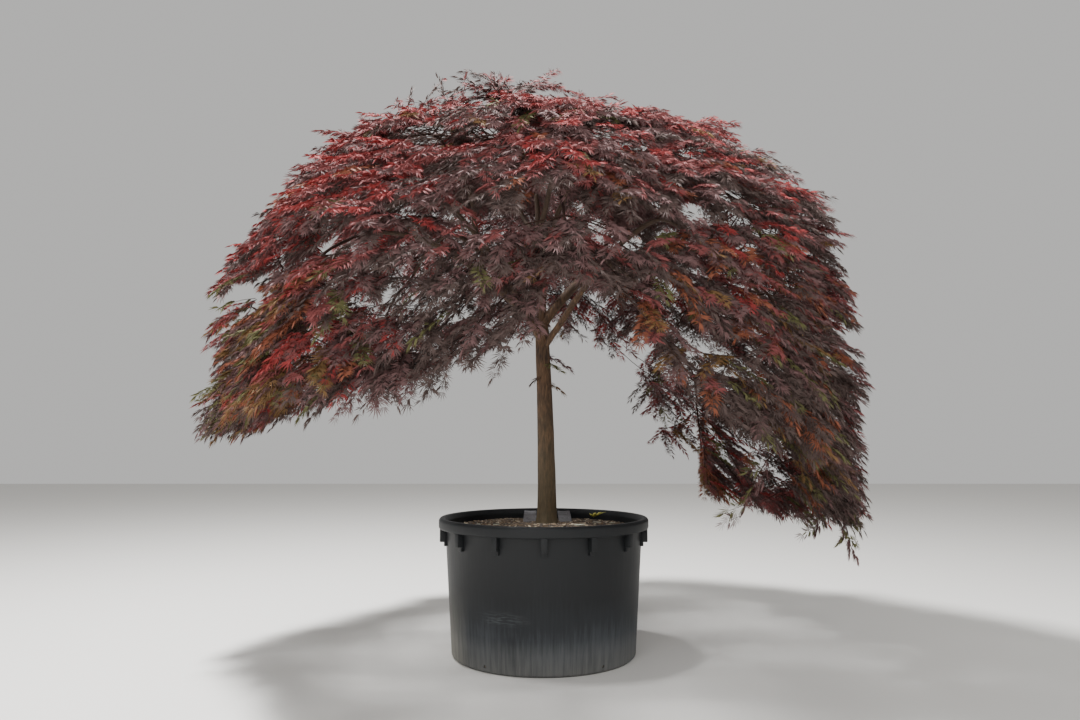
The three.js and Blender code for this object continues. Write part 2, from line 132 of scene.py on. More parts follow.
def speckle(material, place, scale, detail, roughness=0.5):
    """An uneven pattern from 0 to 1, with so many grains to the metre."""
    settings = {"Scale": scale, "Detail": detail, "Roughness": roughness}
    return add_node(material, "ShaderNodeTexNoise", settings, {"Vector": place}).outputs["Fac"]


def ranged(material, value, first, last, to_first=0.0, to_last=1.0):
    """A value brought from one range to another, and held inside it."""
    settings = {"From Min": first, "From Max": last, "To Min": to_first, "To Max": to_last}
    return add_node(material, "ShaderNodeMapRange", settings, {"Value": value}).outputs[0]


def reckoned(material, operation, *terms):
    """What an operation makes of its terms. Each is a number or another node's output."""
    numbers = {i: term for i, term in enumerate(terms) if isinstance(term, float)}
    outputs = {i: term for i, term in enumerate(terms) if not isinstance(term, float)}
    return add_node(material, "ShaderNodeMath", {"operation": operation, **numbers}, outputs).outputs[0]


def shades_of(material, value, stops):
    """A colour for a value, blended between stops."""
    return add_node(material, "ShaderNodeValToRGB", {"stops": stops}, {"Fac": value}).outputs["Color"]


def covered(material, share, under, over):
    """A colour with so much of another laid over it."""
    settings = {"data_type": "RGBA", 7: linear(over)}
    return add_node(material, "ShaderNodeMix", settings, {0: share, 6: under}).outputs[2]


def raised(material, value, strength, distance):
    """A surface that a pattern raises by up to a distance."""
    settings = {"Strength": strength, "Distance": distance}
    return add_node(material, "ShaderNodeBump", settings, {"Height": value}).outputs[0]


def lead(material, shader, **outputs):
    """Leads nodes' outputs into a shader's inputs."""
    for socket, output in outputs.items():
        material.node_tree.links.new(output, shader.inputs[socket.replace("_", " ")])


def select(*pieces):
    """Selects these pieces and no others. The first of them is the active one."""
    bpy.ops.object.select_all(action="DESELECT")
    for piece in reversed(pieces):
        piece.select_set(True)
        bpy.context.view_layer.objects.active = piece


def modify(piece, kind, **settings):
    """Adds a modifier to a piece and makes what it does part of the mesh."""
    modifier = piece.modifiers.new(kind.lower(), kind)
    for name, value in settings.items():
        setattr(modifier, name, value)
    bpy.context.view_layer.objects.active = piece
    bpy.ops.object.modifier_apply(modifier=modifier.name)


def settle(piece):
    """Puts a finished piece's place into its mesh and leaves nothing selected."""
    select(piece)
    bpy.ops.object.transform_apply(location=True, rotation=True, scale=True)
    select()


def raise_profile(name, profile, sides):
    """A round piece, raised ring by ring from a filled circle and closed by its last ring."""
    (radius, height), *rest = profile
    bpy.ops.mesh.primitive_circle_add(vertices=sides, radius=radius, fill_type="NGON",
                                      location=(0, 0, height))
    piece = bpy.context.object
    piece.name = name
    settle(piece)
    piece.select_set(True)
    bpy.ops.object.mode_set(mode="EDIT")
    bpy.ops.mesh.select_all(action="SELECT")
    for next_radius, next_height in rest:
        rise = (0, 0, next_height - height)
        bpy.ops.mesh.extrude_region_move(TRANSFORM_OT_translate={"value": rise})
        widen = next_radius / radius
        bpy.ops.transform.resize(value=(widen, widen, 1), center_override=(0, 0, next_height))
        radius, height = next_radius, next_height
    bpy.ops.mesh.select_all(action="SELECT")
    bpy.ops.mesh.normals_make_consistent(inside=False)
    bpy.ops.object.mode_set(mode="OBJECT")
    return piece


def pot_radius(height):
    """The outside of the container's wall at a height under the rim."""
    share = (height - POT_FOOT) / (RIM_FOOT - POT_FOOT)
    return POT_BASE + (POT_TOP - POT_BASE) * share


container = raise_profile("container", [
    (POT_BASE - POT_FOOT, 0),
    (POT_BASE, POT_FOOT),
    (pot_radius(0.30), 0.30),
    (pot_radius(0.55), 0.55),
    (POT_TOP, RIM_FOOT),
    (RIM_RADIUS - 0.004, RIM_FOOT),
    (RIM_RADIUS, RIM_FOOT + 0.010),
    (RIM_RADIUS, POT_HEIGHT - 0.014),
    (RIM_RADIUS - 0.010, POT_HEIGHT),
    (RIM_RADIUS - 0.036, POT_HEIGHT),
    (POT_TOP - POT_WALL, POT_HEIGHT - 0.030),
    (POT_TOP - POT_WALL, RIM_FOOT),
    (pot_radius(POT_FLOOR) - POT_WALL, POT_FLOOR),
], POT_SIDES)
modify(container, "BEVEL", width=MOULDED_EDGE, segments=3, limit_method="ANGLE", angle_limit=math.radians(20))

# Each gusset is a rib with a step: its upper part stands out under the rim, its lower part is flat.
gusset_middle = ((POT_TOP + GUSSET_REACH) / 2, 0, RIM_FOOT - GUSSET_STEP / 2 + GUSSET_LIP)
bpy.ops.mesh.primitive_cube_add(size=1, location=gusset_middle)
gusset = bpy.context.object
gusset.scale = (GUSSET_REACH - POT_TOP + 2 * GUSSET_ROOT, GUSSET_WIDTH, GUSSET_STEP)
settle(gusset)
gusset.select_set(True)
bpy.ops.object.mode_set(mode="EDIT")
bpy.ops.mesh.select_mode(type="FACE")
mesh = bmesh.from_edit_mesh(gusset.data)
for face in mesh.faces:
    face.select_set(face.normal.z < -0.9)
bmesh.update_edit_mesh(gusset.data)
bpy.ops.mesh.extrude_region_move(TRANSFORM_OT_translate={"value": (0, 0, 0)})
step_root = (POT_TOP - GUSSET_ROOT, 0, RIM_FOOT - GUSSET_STEP)
bpy.ops.transform.resize(value=GUSSET_TAPER, center_override=step_root)
bpy.ops.mesh.extrude_region_move(TRANSFORM_OT_translate={"value": (0, 0, GUSSET_STEP - GUSSET_DEPTH)})
bpy.ops.mesh.select_mode(type="VERT")
bpy.ops.object.mode_set(mode="OBJECT")
modify(gusset, "BEVEL", width=GUSSET_EDGE, segments=2)
gussets = [gusset]
for number in range(1, GUSSETS):
    rib = gusset.copy()
    rib.data = gusset.data.copy()
    bpy.context.collection.objects.link(rib)
    rib.data.transform(Matrix.Rotation(math.tau * number / GUSSETS, 4, "Z"))
    gussets.append(rib)
for rib in gussets:
    rib.data.transform(Matrix.Rotation(math.tau * 0.5 / GUSSETS, 4, "Z"))

# The drain holes are drilled through the foot of the wall, two of them towards the front.
drills = []
for number in range(DRAINS):
    turn = DRAIN_START + math.tau * number / DRAINS
    bpy.ops.mesh.primitive_cylinder_add(
        vertices=24, radius=DRAIN_RADIUS, depth=0.06, rotation=(0, math.pi / 2, turn),
        location=(POT_BASE * math.cos(turn), POT_BASE * math.sin(turn), DRAIN_HEIGHT))
    drills.append(bpy.context.object)
select(*drills)
bpy.ops.object.join()
modify(container, "BOOLEAN", operation="DIFFERENCE", object=drills[0])
bpy.data.objects.remove(drills[0])
select(container, *gussets)
bpy.ops.object.join()
bpy.ops.object.shade_smooth_by_angle(angle=math.radians(24))
settle(container)

# Black polyethylene, moulded and left outdoors: charcoal where rain has washed it, and greyer
# below with fine upright streaks of dust. It gives a soft sheen with no sharp reflections.
plastic, shader = new_material("weathered black polyethylene", "#2d2f31", 0.5, ior=1.38)
place = object_place(plastic)
streaks = speckle(plastic, stretched(plastic, place, (1, 1, 0.035)), 60, 5, 0.6)
patches = speckle(plastic, place, 3.2, 6)
axes = add_node(plastic, "ShaderNodeSeparateXYZ", {}, {"Vector": place})
low = ranged(plastic, axes.outputs["Z"], 0.46, 0.12)
faint = ranged(plastic, streaks, 0, 1, 0.25, 0.8)
dusty = reckoned(plastic, "MULTIPLY_ADD", low, 0.62, faint)
worn = reckoned(plastic, "MULTIPLY_ADD", patches, 0.35, dusty)
greys = shades_of(plastic, ranged(plastic, worn, 0.25, 1.35), [
    (0.45, "#191b1d"), (0.72, "#25282b"), (1.0, "#44474b")])

# Dust has settled round the foot and blown up the left side.
at_foot = ranged(plastic, axes.outputs["Z"], 0.20, 0.0, 0.0, 0.4)
at_left = ranged(plastic, axes.outputs["X"], -0.44, -0.60)
windward = reckoned(plastic, "MULTIPLY_ADD", at_left, low, at_foot)
blown = reckoned(plastic, "MULTIPLY", windward, streaks)
dust = covered(plastic, blown, greys, "#9c998e")

# One patch low on the front is scuffed with level scratches.
rubbed = add_node(plastic, "ShaderNodeMapping", {
    "vector_type": "TEXTURE", "Location": (-0.25, -0.54, 0.318), "Scale": (0.2, 0.2, 0.05)},
    {"Vector": place})
patch = add_node(plastic, "ShaderNodeTexGradient", {"gradient_type": "SPHERICAL"},
                 {"Vector": rubbed.outputs[0]})
scratches = speckle(plastic, stretched(plastic, place, (0.3, 0.3, 2.4)), 55, 5)
scored = ranged(plastic, scratches, 0.46, 0.74, 0.0, 0.6)
scuff = reckoned(plastic, "MULTIPLY", scored, patch.outputs["Fac"])
lead(plastic, shader,
     Base_Color=covered(plastic, scuff, dust, "#63676a"),
     Roughness=ranged(plastic, worn, 0.3, 1.3, 0.42, 0.72),
     Normal=raised(plastic, streaks, 0.25, 0.001))
container.data.materials.clear()
container.data.materials.append(plastic)
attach(container, "root")
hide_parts("pot")


# The container is filled with potting soil to a hand's breadth below its rim, heaped a little round
# the trunk. A loose mulch of broken bark lies over it.
SOIL_EDGE = 0.778
SOIL_SHOULDER = 0.790
SOIL_MOUND = 0.806
SOIL_FLOOR = 0.024
SOIL_CLEARANCE = 0.001
SOIL_RINGS = 26
CLOD_HEIGHT = 0.004
CLODS_PER_METRE = 22


def dice(seed):
    """The same run of chances for the same seed, each from 0 to 1."""
    state = seed

    def roll():
        nonlocal state
        state = (state * 1664525 + 1013904223) % 4294967296
        return state / 4294967296

    roll()
    roll()
    return roll


def mound_height(radius):
    """How high the soil lies at a distance from the middle."""
    heights = [SOIL_MOUND, SOIL_MOUND, SOIL_SHOULDER, SOIL_EDGE]
    return float(np.interp(radius, [0, 0.19, 0.42, 0.61], heights))


def mesh_piece(name, places, corners, material):
    """A piece from arrays of its vertices and triangles."""
    data = bpy.data.meshes.new(name)
    data.vertices.add(len(places))
    data.vertices.foreach_set("co", np.asarray(places, dtype=np.float32).ravel())
    data.loops.add(corners.size)
    data.loops.foreach_set("vertex_index", np.asarray(corners, dtype=np.int32).ravel())
    data.polygons.add(len(corners))
    data.polygons.foreach_set("loop_start", np.arange(0, corners.size, 3, dtype=np.int32))
    data.update(calc_edges=True)
    data.materials.append(material)
    piece = bpy.data.objects.new(name, data)
    bpy.context.collection.objects.link(piece)
    return piece


def joined(meshes):
    """The vertices and triangles of many small meshes as one mesh."""
    starts = np.cumsum([0] + [len(places) for places, _ in meshes])
    corners = [faces + start for (_, faces), start in zip(meshes, starts)]
    return np.concatenate([places for places, _ in meshes]), np.concatenate(corners)


soil_wall = pot_radius(SOIL_EDGE) - POT_WALL - SOIL_CLEARANCE
soil_foot = pot_radius(SOIL_FLOOR) - POT_WALL - SOIL_CLEARANCE
soil_rings = [(soil_foot, SOIL_FLOOR), (soil_wall, SOIL_EDGE)]
for ring in range(1, SOIL_RINGS):
    ring_radius = soil_wall * (1 - ring / SOIL_RINGS)
    soil_rings.append((ring_radius, mound_height(ring_radius)))
soil = raise_profile("potting_soil", soil_rings, 96)
for vertex in soil.data.vertices:
    if vertex.co.z > SOIL_EDGE - 0.001:
        vertex.co.z += CLOD_HEIGHT * noise.fractal(vertex.co * CLODS_PER_METRE, 1.0, 2.0, 4)
select(soil)
bpy.ops.object.shade_smooth_by_angle(angle=math.radians(40))
settle(soil)

# Composted bark, drying to a dull grey brown that scatters the light.
compost, shader = new_material("damp bark compost", "#3f2a20", 0.92)
crumbs = speckle(compost, object_place(compost), 70, 6)
browns = shades_of(compost, crumbs, [(0.35, "#3c3833"), (0.55, "#6a6258"), (0.72, "#918877")])
lead(compost, shader, Base_Color=browns, Normal=raised(compost, crumbs, 0.8, 0.004))
soil.data.materials.clear()
soil.data.materials.append(compost)
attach(soil, "root")
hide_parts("soil")

# The mulch is broken flakes of bark. Each is a thin splinter with blunt ends, and they are dealt
# out in four shades from dark and wet to bleached, with the share of each. None lies on the boards.
CHIPS = 3600
CHIP_LENGTH = 0.034
CHIP_WIDTH = 0.55
CHIP_THICK = 0.006
CHIP_EDGE = 0.018
CHIP_TILT = 0.5
CHIP_SHADES = {
    "wet": ("#5a5148", 0.45),
    "red": ("#76644f", 0.30),
    "brown": ("#93806a", 0.15),
    "bleached": ("#c8bba3", 0.10),
}
BOARD_WIDTH = 0.086
BOARD_THICK = 0.022
BOARD_FRONT = -0.04
BOARD_BACK_HEIGHT = 0.826
BOARD_SLOPE = 0.040
BOARD_SUNK = 0.09
CHIP_CLEARANCE = 0.004
BOARD_PLACES = {"board_left": -0.092, "board_right": 0.146}
flake = np.array([[-0.5, -0.2, -0.5], [0.5, -0.32, -0.5], [0.42, 0.3, -0.5], [-0.46, 0.34, -0.5],
                  [-0.44, -0.16, 0.5], [0.38, -0.24, 0.5], [0.34, 0.2, 0.5], [-0.36, 0.26, 0.5]])
flake_faces = np.array([[0, 2, 1], [0, 3, 2], [4, 5, 6], [4, 6, 7], [0, 1, 5], [0, 5, 4],
                        [1, 2, 6], [1, 6, 5], [2, 3, 7], [2, 7, 6], [3, 0, 4], [3, 4, 7]])
roll = dice(409)
heaps = {shade_name: [] for shade_name in CHIP_SHADES}
for number in range(CHIPS):
    radius = (soil_wall - CHIP_EDGE) * math.sqrt(roll())
    turn = math.tau * roll()
    x, y = radius * math.cos(turn), radius * math.sin(turn)
    on_board = any(abs(x - middle) < BOARD_WIDTH / 2 + CHIP_CLEARANCE and y > BOARD_FRONT + BOARD_SUNK
                   for middle in BOARD_PLACES.values())
    size = CHIP_LENGTH * (0.45 + 0.9 * roll())
    lie = Matrix.Rotation(math.tau * roll(), 3, "Z")
    lie = lie @ Matrix.Rotation(CHIP_TILT * (roll() - 0.5), 3, "X")
    lie = lie @ Matrix.Rotation(CHIP_TILT * (roll() - 0.5), 3, "Y")
    pick = roll()
    lift = CHIP_THICK * roll()
    if on_board:
        continue
    for shade_name, (_, share) in CHIP_SHADES.items():
        pick -= share
        if pick < 0:
            break
    shaped = flake * [size, size * CHIP_WIDTH, CHIP_THICK]
    rest = [x, y, mound_height(radius) + lift]
    heaps[shade_name].append((shaped @ np.array(lie).T + rest, flake_faces))
for shade_name, (colour, _) in CHIP_SHADES.items():
    bark_flakes, _ = new_material(shade_name + " bark flakes", colour, 0.85)
    mulch = mesh_piece("mulch_" + shade_name, *joined(heaps[shade_name]), bark_flakes)
    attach(mulch, "root")

# One yellowed leaf has fallen behind the trunk, its lobes curled up as they dried, and a few pale
# scraps lie near it.
FALLEN_PLACE = (0.345, 0.36, 0.812)
FALLEN_LENGTH = 0.088
FALLEN_LOBES = (-118, -76, -38, 0, 38, 76, 118)
FALLEN_SHORTENING = 0.0032
FALLEN_LOBE = ((0.35, 0.16, 0.16), (0.35, -0.16, 0.16), (0.72, 0.15, 0.36), (0.72, -0.15, 0.36),
               (1.0, 0.0, 0.40))
FALLEN_THICK = 0.0008

# Each scrap has its place, length, width and heading.
SCRAP_THICK = 0.004
SCRAP_TILT = 0.16
SCRAP_LIFT = 0.010
FLAKE_WIDTH = 0.6
SCRAPS = [(0.225, -0.13, 0.070, 0.026, 12), (0.35, 0.10, 0.060, 0.012, -8), (0.44, 0.13, 0.075, 0.010, 15),
          (0.49, 0.04, 0.040, 0.012, 40), (-0.30, -0.08, 0.045, 0.010, 25), (-0.42, 0.02, 0.035, 0.012, -30)]
leaf_places = [(0.0, 0.0, 0.0)]
leaf_faces = []
for angle in FALLEN_LOBES:
    turn = math.radians(angle)
    reach = FALLEN_LENGTH * (1 - FALLEN_SHORTENING * abs(angle))
    first = len(leaf_places)
    for out, aside, rise in FALLEN_LOBE:
        leaf_places.append((reach * (out * math.cos(turn) - aside * math.sin(turn)),
                            reach * (out * math.sin(turn) + aside * math.cos(turn)), reach * rise))
    leaf_faces += [(0, first + 1, first), (first, first + 1, first + 3), (first, first + 3, first + 2),
                   (first + 2, first + 3, first + 4)]
yellowed, _ = new_material("dry yellow green leaf", "#b9b44a", 0.6)
fallen = mesh_piece("fallen_leaf", np.array(leaf_places) + FALLEN_PLACE, np.array(leaf_faces), yellowed)
modify(fallen, "SOLIDIFY", thickness=FALLEN_THICK)
scraps = []
for x, y, length, width, heading in SCRAPS:
    lie = Matrix.Rotation(math.radians(heading), 3, "Z") @ Matrix.Rotation(SCRAP_TILT, 3, "X")
    rest = [x, y, mound_height(math.hypot(x, y)) + SCRAP_LIFT]
    shaped = flake * [length, width / FLAKE_WIDTH, SCRAP_THICK]
    scraps.append((shaped @ np.array(lie).T + rest, flake_faces))
dried, _ = new_material("pale dry husk", "#b7b6a4", 0.8)
husks = mesh_piece("pale_scraps", *joined(scraps), dried)
for piece in (fallen, husks):
    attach(piece, "root")


# Two offcuts of sawn board brace the root ball, one on each side of the trunk. Their far ends rest
# high against the wall and their near ends are sunk in the mulch. The timber has weathered grey.
WALL_FACETS = 42
BOARD_CUTS = 12
BOARD_CUP = 0.0016
BOARD_WAVER = 0.0015
BOARD_EDGE = 0.0018
pine, shader = new_material("weathered sawn pine", "#96939c", 0.85)
place = object_place(pine)
grain = speckle(pine, stretched(pine, place, (1, 0.05, 1)), 260, 4)
both = reckoned(pine, "ADD", grain, speckle(pine, place, 14, 5))
greys = shades_of(pine, reckoned(pine, "MULTIPLY", both, 0.5), [
    (0.30, "#4e4c50"), (0.5, "#747376"), (0.66, "#929093")])
lead(pine, shader, Base_Color=greys, Normal=raised(pine, grain, 0.5, 0.001))
for name, middle in BOARD_PLACES.items():
    inside = (POT_TOP - POT_WALL) * math.cos(math.pi / WALL_FACETS)
    back = math.sqrt(inside ** 2 - (abs(middle) + BOARD_WIDTH / 2) ** 2) - 0.001
    length = back - BOARD_FRONT
    bpy.ops.mesh.primitive_cube_add(
        size=1, location=(middle, (back + BOARD_FRONT) / 2, BOARD_BACK_HEIGHT - BOARD_SLOPE / 2),
        rotation=(math.atan2(BOARD_SLOPE, length), 0, 0))
    board = bpy.context.object
    board.name = "bracing_" + name
    board.scale = (BOARD_WIDTH, length, BOARD_THICK)
    settle(board)
    board.select_set(True)
    bpy.ops.object.mode_set(mode="EDIT")
    bpy.ops.mesh.select_all(action="SELECT")
    bpy.ops.mesh.bisect(plane_co=(middle, 0, 0), plane_no=(1, 0, 0))
    for step in range(1, BOARD_CUTS):
        bpy.ops.mesh.select_all(action="SELECT")
        cut = BOARD_FRONT + length * step / BOARD_CUTS
        bpy.ops.mesh.bisect(plane_co=(0, cut, 0), plane_no=(0, 1, 0))
    bpy.ops.object.mode_set(mode="OBJECT")
    for vertex in board.data.vertices:
        vertex.co.z -= BOARD_CUP * (1 - abs(vertex.co.x - middle) / (BOARD_WIDTH / 2))
        waver = noise.noise(Vector((middle * 9, vertex.co.y * 6, vertex.co.x * 20)))
        vertex.co.x += BOARD_WAVER * waver
    modify(board, "BEVEL", width=BOARD_EDGE, segments=2)
    board.data.materials.clear()
    board.data.materials.append(pine)
    settle(board)
    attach(board, "root")
    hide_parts(name)


# One short trunk flares at its roots and forks above head height. Boughs radiate from the fork, rise,
# and arch over into hanging limbs. The bark is smooth and grey brown, with shallow upright furrows.
FOOT_LEAN = 0.024
FORK_LEAN = -0.012
FORK_HEIGHT = 2.100
FOOT_DEPTH = 0.040
FLARE_RADIUS = 0.088
FLARE_FADE = 26
FOOT_RADIUS = 0.064
FORK_RADIUS = 0.043
ROOT_LOBES = 5
ROOT_LOBE_DEPTH = 0.009
TRUNK_SIDES = 56
TRUNK_RELIEF = 0.022
TRUNK_GRAIN = 0.16

# The crown leans to the left above its widest part. For each side: its azimuth, how far it reaches,
# how high its hem hangs and how full it is between top and hem.
CROWN_TOP = 3.350
PEAK = 0.150
CROWN_LEAN = (-0.400, -0.040)
LEAN_FOOT = 3.060
SIDES = [
    ("right", 0, 2.000, 0.760, 3.8),
    ("back_right", 48, 1.960, 0.880, 2.9),
    ("back", 88, 1.820, 2.260, 2.7),
    ("back_left", 138, 1.900, 1.750, 2.8),
    ("left", 184, 2.110, 1.340, 2.7),
    ("front_left", 228, 1.960, 1.500, 2.6),
    ("front", 274, 1.740, 1.740, 2.6),
    ("front_right", 318, 1.850, 1.240, 2.5),
]

# Where limbs end, as the share of the way from top to hem and the depth under the crown's surface.
SHOULDER = (0.42, 0.74)
BEND = (0.6, 0.8)
RISER_END = (0.22, 0.74)
LEADER_END = (0.02, 0.74)

# What each limb leaves and how far along it, its radius, and how steeply it climbs.
BOUGHS = {
    "right": ("trunk", 0.985, 0.033, 0.62),
    "left": ("trunk", 0.96, 0.031, 0.4),
    "back": ("trunk", 0.925, 0.024, 0.5),
    "front_left": ("trunk", 0.9, 0.023, 0.4),
    "front_right": ("trunk", 0.87, 0.022, 0.36),
    "back_right": ("bough_right", 0.2, 0.022, 0.45),
    "back_left": ("bough_left", 0.22, 0.022, 0.45),
    "front": ("bough_left", 0.1, 0.022, 0.5),
}
RISERS = {
    "top_right": ("bough_right", 0.45, "right", "back_right"),
    "top_back": ("leader", 0.55, "back", "back_left"),
    "top_left": ("bough_left", 0.42, "left", "front_left"),
    "top_front": ("leader", 0.4, "front", "front_right"),
}
LEADER_RADIUS = 0.030
RISER_RADIUS = 0.017
TIP_RADIUS = 0.014
ARCH_RADIUS = 0.011
ARCH_TAPER = 0.002
LIMB_RINGS = 61
LIMB_SIDES = 14
LIMB_RELIEF = 0.05
LIMB_GRAIN = 0.10
LIMB_WANDER = 0.018


def mix(low, high, share):
    """The value a share of the way from low to high."""
    return low + (high - low) * share


def side_at(azimuth):
    """The crown's reach, hem and fullness at an azimuth, blended between two sides."""
    turn = azimuth % 360
    after = next((i for i, side in enumerate(SIDES) if side[1] > turn), 0)
    low, high = SIDES[after - 1], SIDES[after]
    share = (turn - low[1]) / ((high[1] or 360) - low[1])
    share = share * share * (3 - 2 * share)
    return [mix(low[i], high[i], share) for i in (2, 3, 4)]


def lean_at(height):
    """How much of the crown's lean is reached at a height."""
    return max(0.0, (height - LEAN_FOOT) / (CROWN_TOP + PEAK - LEAN_FOOT))


def crown_point(azimuth, share, depth):
    """A point of the crown, a share of the way from top to hem. Depth is 1 on its surface."""
    reach, hem, fullness = side_at(azimuth)
    polar = share * math.pi / 2
    out, up = math.sin(polar), math.cos(polar)
    bulge = depth * (abs(out) ** fullness + abs(up) ** fullness) ** (-1 / fullness)
    height = hem + up * bulge * (CROWN_TOP - hem) + PEAK * (1 - out * bulge)
    turn = math.radians(azimuth)
    return np.array([math.cos(turn) * out * bulge * reach + CROWN_LEAN[0] * lean_at(height),
                     math.sin(turn) * out * bulge * reach + CROWN_LEAN[1] * lean_at(height), height])


def crown_place(point):
    """The azimuth, share and depth of a point."""
    x = point[0] - CROWN_LEAN[0] * lean_at(point[2])
    y = point[1] - CROWN_LEAN[1] * lean_at(point[2])
    azimuth = math.degrees(math.atan2(y, x))
    reach, hem, fullness = side_at(azimuth)
    out = math.hypot(x, y) / reach
    up = (point[2] - hem - PEAK * (1 - out)) / (CROWN_TOP - hem)
    depth = (out ** fullness + abs(up) ** fullness) ** (1 / fullness)
    return azimuth, math.atan2(out, up) / (math.pi / 2), depth


def unit(vector):
    """A vector at length one."""
    return vector / max(np.linalg.norm(vector), 1e-9)


def length_of(path):
    """How long a path is."""
    return np.linalg.norm(np.diff(path, axis=0), axis=1).sum()


def even(path, count):
    """Points evenly spaced along a path."""
    steps = np.linalg.norm(np.diff(path, axis=0), axis=1)
    marks = np.concatenate([[0], np.cumsum(steps)])
    wanted = np.linspace(0, marks[-1], count)
    return np.stack([np.interp(wanted, marks, path[:, axis]) for axis in range(3)], axis=1)


def point_at(path, share):
    """The point a share of the way along an evenly spaced path."""
    place = min(max(share, 0.0), 1.0) * (len(path) - 1)
    first = min(int(place), len(path) - 2)
    return mix(path[first], path[first + 1], place - first)


def smooth_curve(knots, count):
    """An evenly spaced curve through some knots."""
    knots = np.asarray(knots, dtype=float)
    ends = [2 * knots[0] - knots[1], *knots, 2 * knots[-1] - knots[-2]]
    points = []
    for i in range(len(knots) - 1):
        a, b, c, d = ends[i:i + 4]
        for share in np.linspace(0, 1, 30, endpoint=i == len(knots) - 2):
            square, cube = share ** 2, share ** 3
            points.append(0.5 * (2 * b + (c - a) * share + (2 * a - 5 * b + 4 * c - d) * square
                                 + (3 * b - a - 3 * c + d) * cube))
    return even(np.array(points), count)


def arch_path(start, goal, lift, count=41):
    """A limb that climbs away from its parent and levels out, or turns down, towards its tip."""
    length = np.linalg.norm(goal - start)
    run = (goal - start) * [1, 1, 0]
    up = np.array([0, 0, 1.0])
    first = start + 0.22 * run + up * lift * length * 0.55
    second = mix(goal, start, 0.34) + up * np.linalg.norm(run) * 0.24
    share = np.linspace(0, 1, 80)[:, None]
    rest = 1 - share
    curve = rest ** 3 * start + 3 * rest ** 2 * share * first
    curve = curve + 3 * rest * share ** 2 * second + share ** 3 * goal
    return even(curve, count)


def tube(path, radii):
    """A closed tube along a path. radii holds one row of radii for each point of the path."""
    rings, sides = radii.shape
    tangents = np.gradient(path, axis=0)
    tangents /= np.linalg.norm(tangents, axis=1)[:, None]
    normal = np.cross(tangents[0], [0.0, 1.0, 0.0] if abs(tangents[0][1]) < 0.9 else [1.0, 0.0, 0.0])
    turns = np.arange(sides) * math.tau / sides
    places = np.empty((rings, sides, 3))
    for ring in range(rings):
        normal = unit(normal - np.dot(normal, tangents[ring]) * tangents[ring])
        other = np.cross(tangents[ring], normal)
        outwards = np.cos(turns)[:, None] * normal + np.sin(turns)[:, None] * other
        places[ring] = path[ring] + outwards * radii[ring][:, None]
    around = np.arange(sides)
    following = (around + 1) % sides
    starts = np.arange(rings - 1)[:, None] * sides
    first, after = starts + around, starts + following
    walls = np.concatenate([np.stack([first, after, after + sides], axis=-1).reshape(-1, 3),
                            np.stack([first, after + sides, first + sides], axis=-1).reshape(-1, 3)])
    foot, tip = rings * sides, rings * sides + 1
    last = (rings - 1) * sides
    caps = np.concatenate([np.stack([np.full(sides, foot), following, around], axis=-1),
                           np.stack([np.full(sides, tip), last + around, last + following], axis=-1)])
    ends = [path[0], path[-1] + tangents[-1] * radii[-1].mean()]
    return np.concatenate([places.reshape(-1, 3), ends]), np.concatenate([walls, caps])


def taper(path, first, last, sides):
    """Rows of radii that narrow evenly along a path."""
    return np.linspace(first, last, len(path))[:, None].repeat(sides, axis=1)


def bark_relief(path, radii, depth, grain_length):
    """Shallow furrows that run along a limb, and swellings where it has healed over old cuts."""
    rings, sides = radii.shape
    relief = np.empty((rings, sides))
    spacing = np.linalg.norm(path[1] - path[0])
    for ring in range(rings):
        rise = ring * spacing
        for side in range(sides):
            turn = math.tau * side / sides
            round_about = Vector((math.cos(turn) * 2.6, math.sin(turn) * 2.6, rise / grain_length))
            knuckle = Vector((math.cos(turn) * 0.7, math.sin(turn) * 0.7, rise / 0.16)) + Vector((9, 0, 0))
            relief[ring, side] = noise.fractal(round_about, 0.9, 2.1, 4) + 1.3 * noise.noise(knuckle)
    return radii * (1 + depth * relief)


trunk_path = smooth_curve([
    [FOOT_LEAN, 0, SOIL_MOUND - FOOT_DEPTH],
    [FOOT_LEAN - 0.002, 0.004, SOIL_MOUND + 0.090],
    [mix(FOOT_LEAN, FORK_LEAN, 0.5) + 0.006, 0.008, mix(SOIL_MOUND, FORK_HEIGHT, 0.5)],
    [FORK_LEAN, 0, FORK_HEIGHT],
], 150)
limbs = {"trunk": trunk_path}
limb_radii = {}


def branch(name, parent, at, goal, lift, start_radius, end_radius):
    """Adds a limb that leaves its parent a share of the way along it."""
    limbs[name] = arch_path(point_at(limbs[parent], at), goal, lift)
    limb_radii[name] = (start_radius, end_radius)


def sector(first_name, last_name):
    """The azimuths that some neighbouring sides share out, halfway to the sides beyond them."""
    names = [side[0] for side in SIDES]
    first, last = names.index(first_name), names.index(last_name)
    before = SIDES[first - 1][1] - (0 if first else 360)
    after = SIDES[last + 1][1] if last + 1 < len(SIDES) else 360
    return (before + SIDES[first][1]) / 2, (SIDES[last][1] + after) / 2


branch("leader", "trunk", 0.985, crown_point(180, *LEADER_END), 0.2, LEADER_RADIUS, TIP_RADIUS)
for side, (parent, at, radius, lift) in BOUGHS.items():
    azimuth = next(plan[1] for plan in SIDES if plan[0] == side)
    branch("bough_" + side, parent, at, crown_point(azimuth, *SHOULDER), lift, radius, TIP_RADIUS)
for side, azimuth, *_ in SIDES:
    goal = crown_point(azimuth, *BEND)
    branch("arch_" + side, "bough_" + side, 1, goal, 0.06, ARCH_RADIUS, ARCH_RADIUS - ARCH_TAPER)
for name, (parent, at, first, last) in RISERS.items():
    start, end = sector(first, last)
    goal = crown_point((start + end) / 2, *RISER_END)
    branch("riser_" + name, parent, at, goal, 0.3, RISER_RADIUS, TIP_RADIUS)
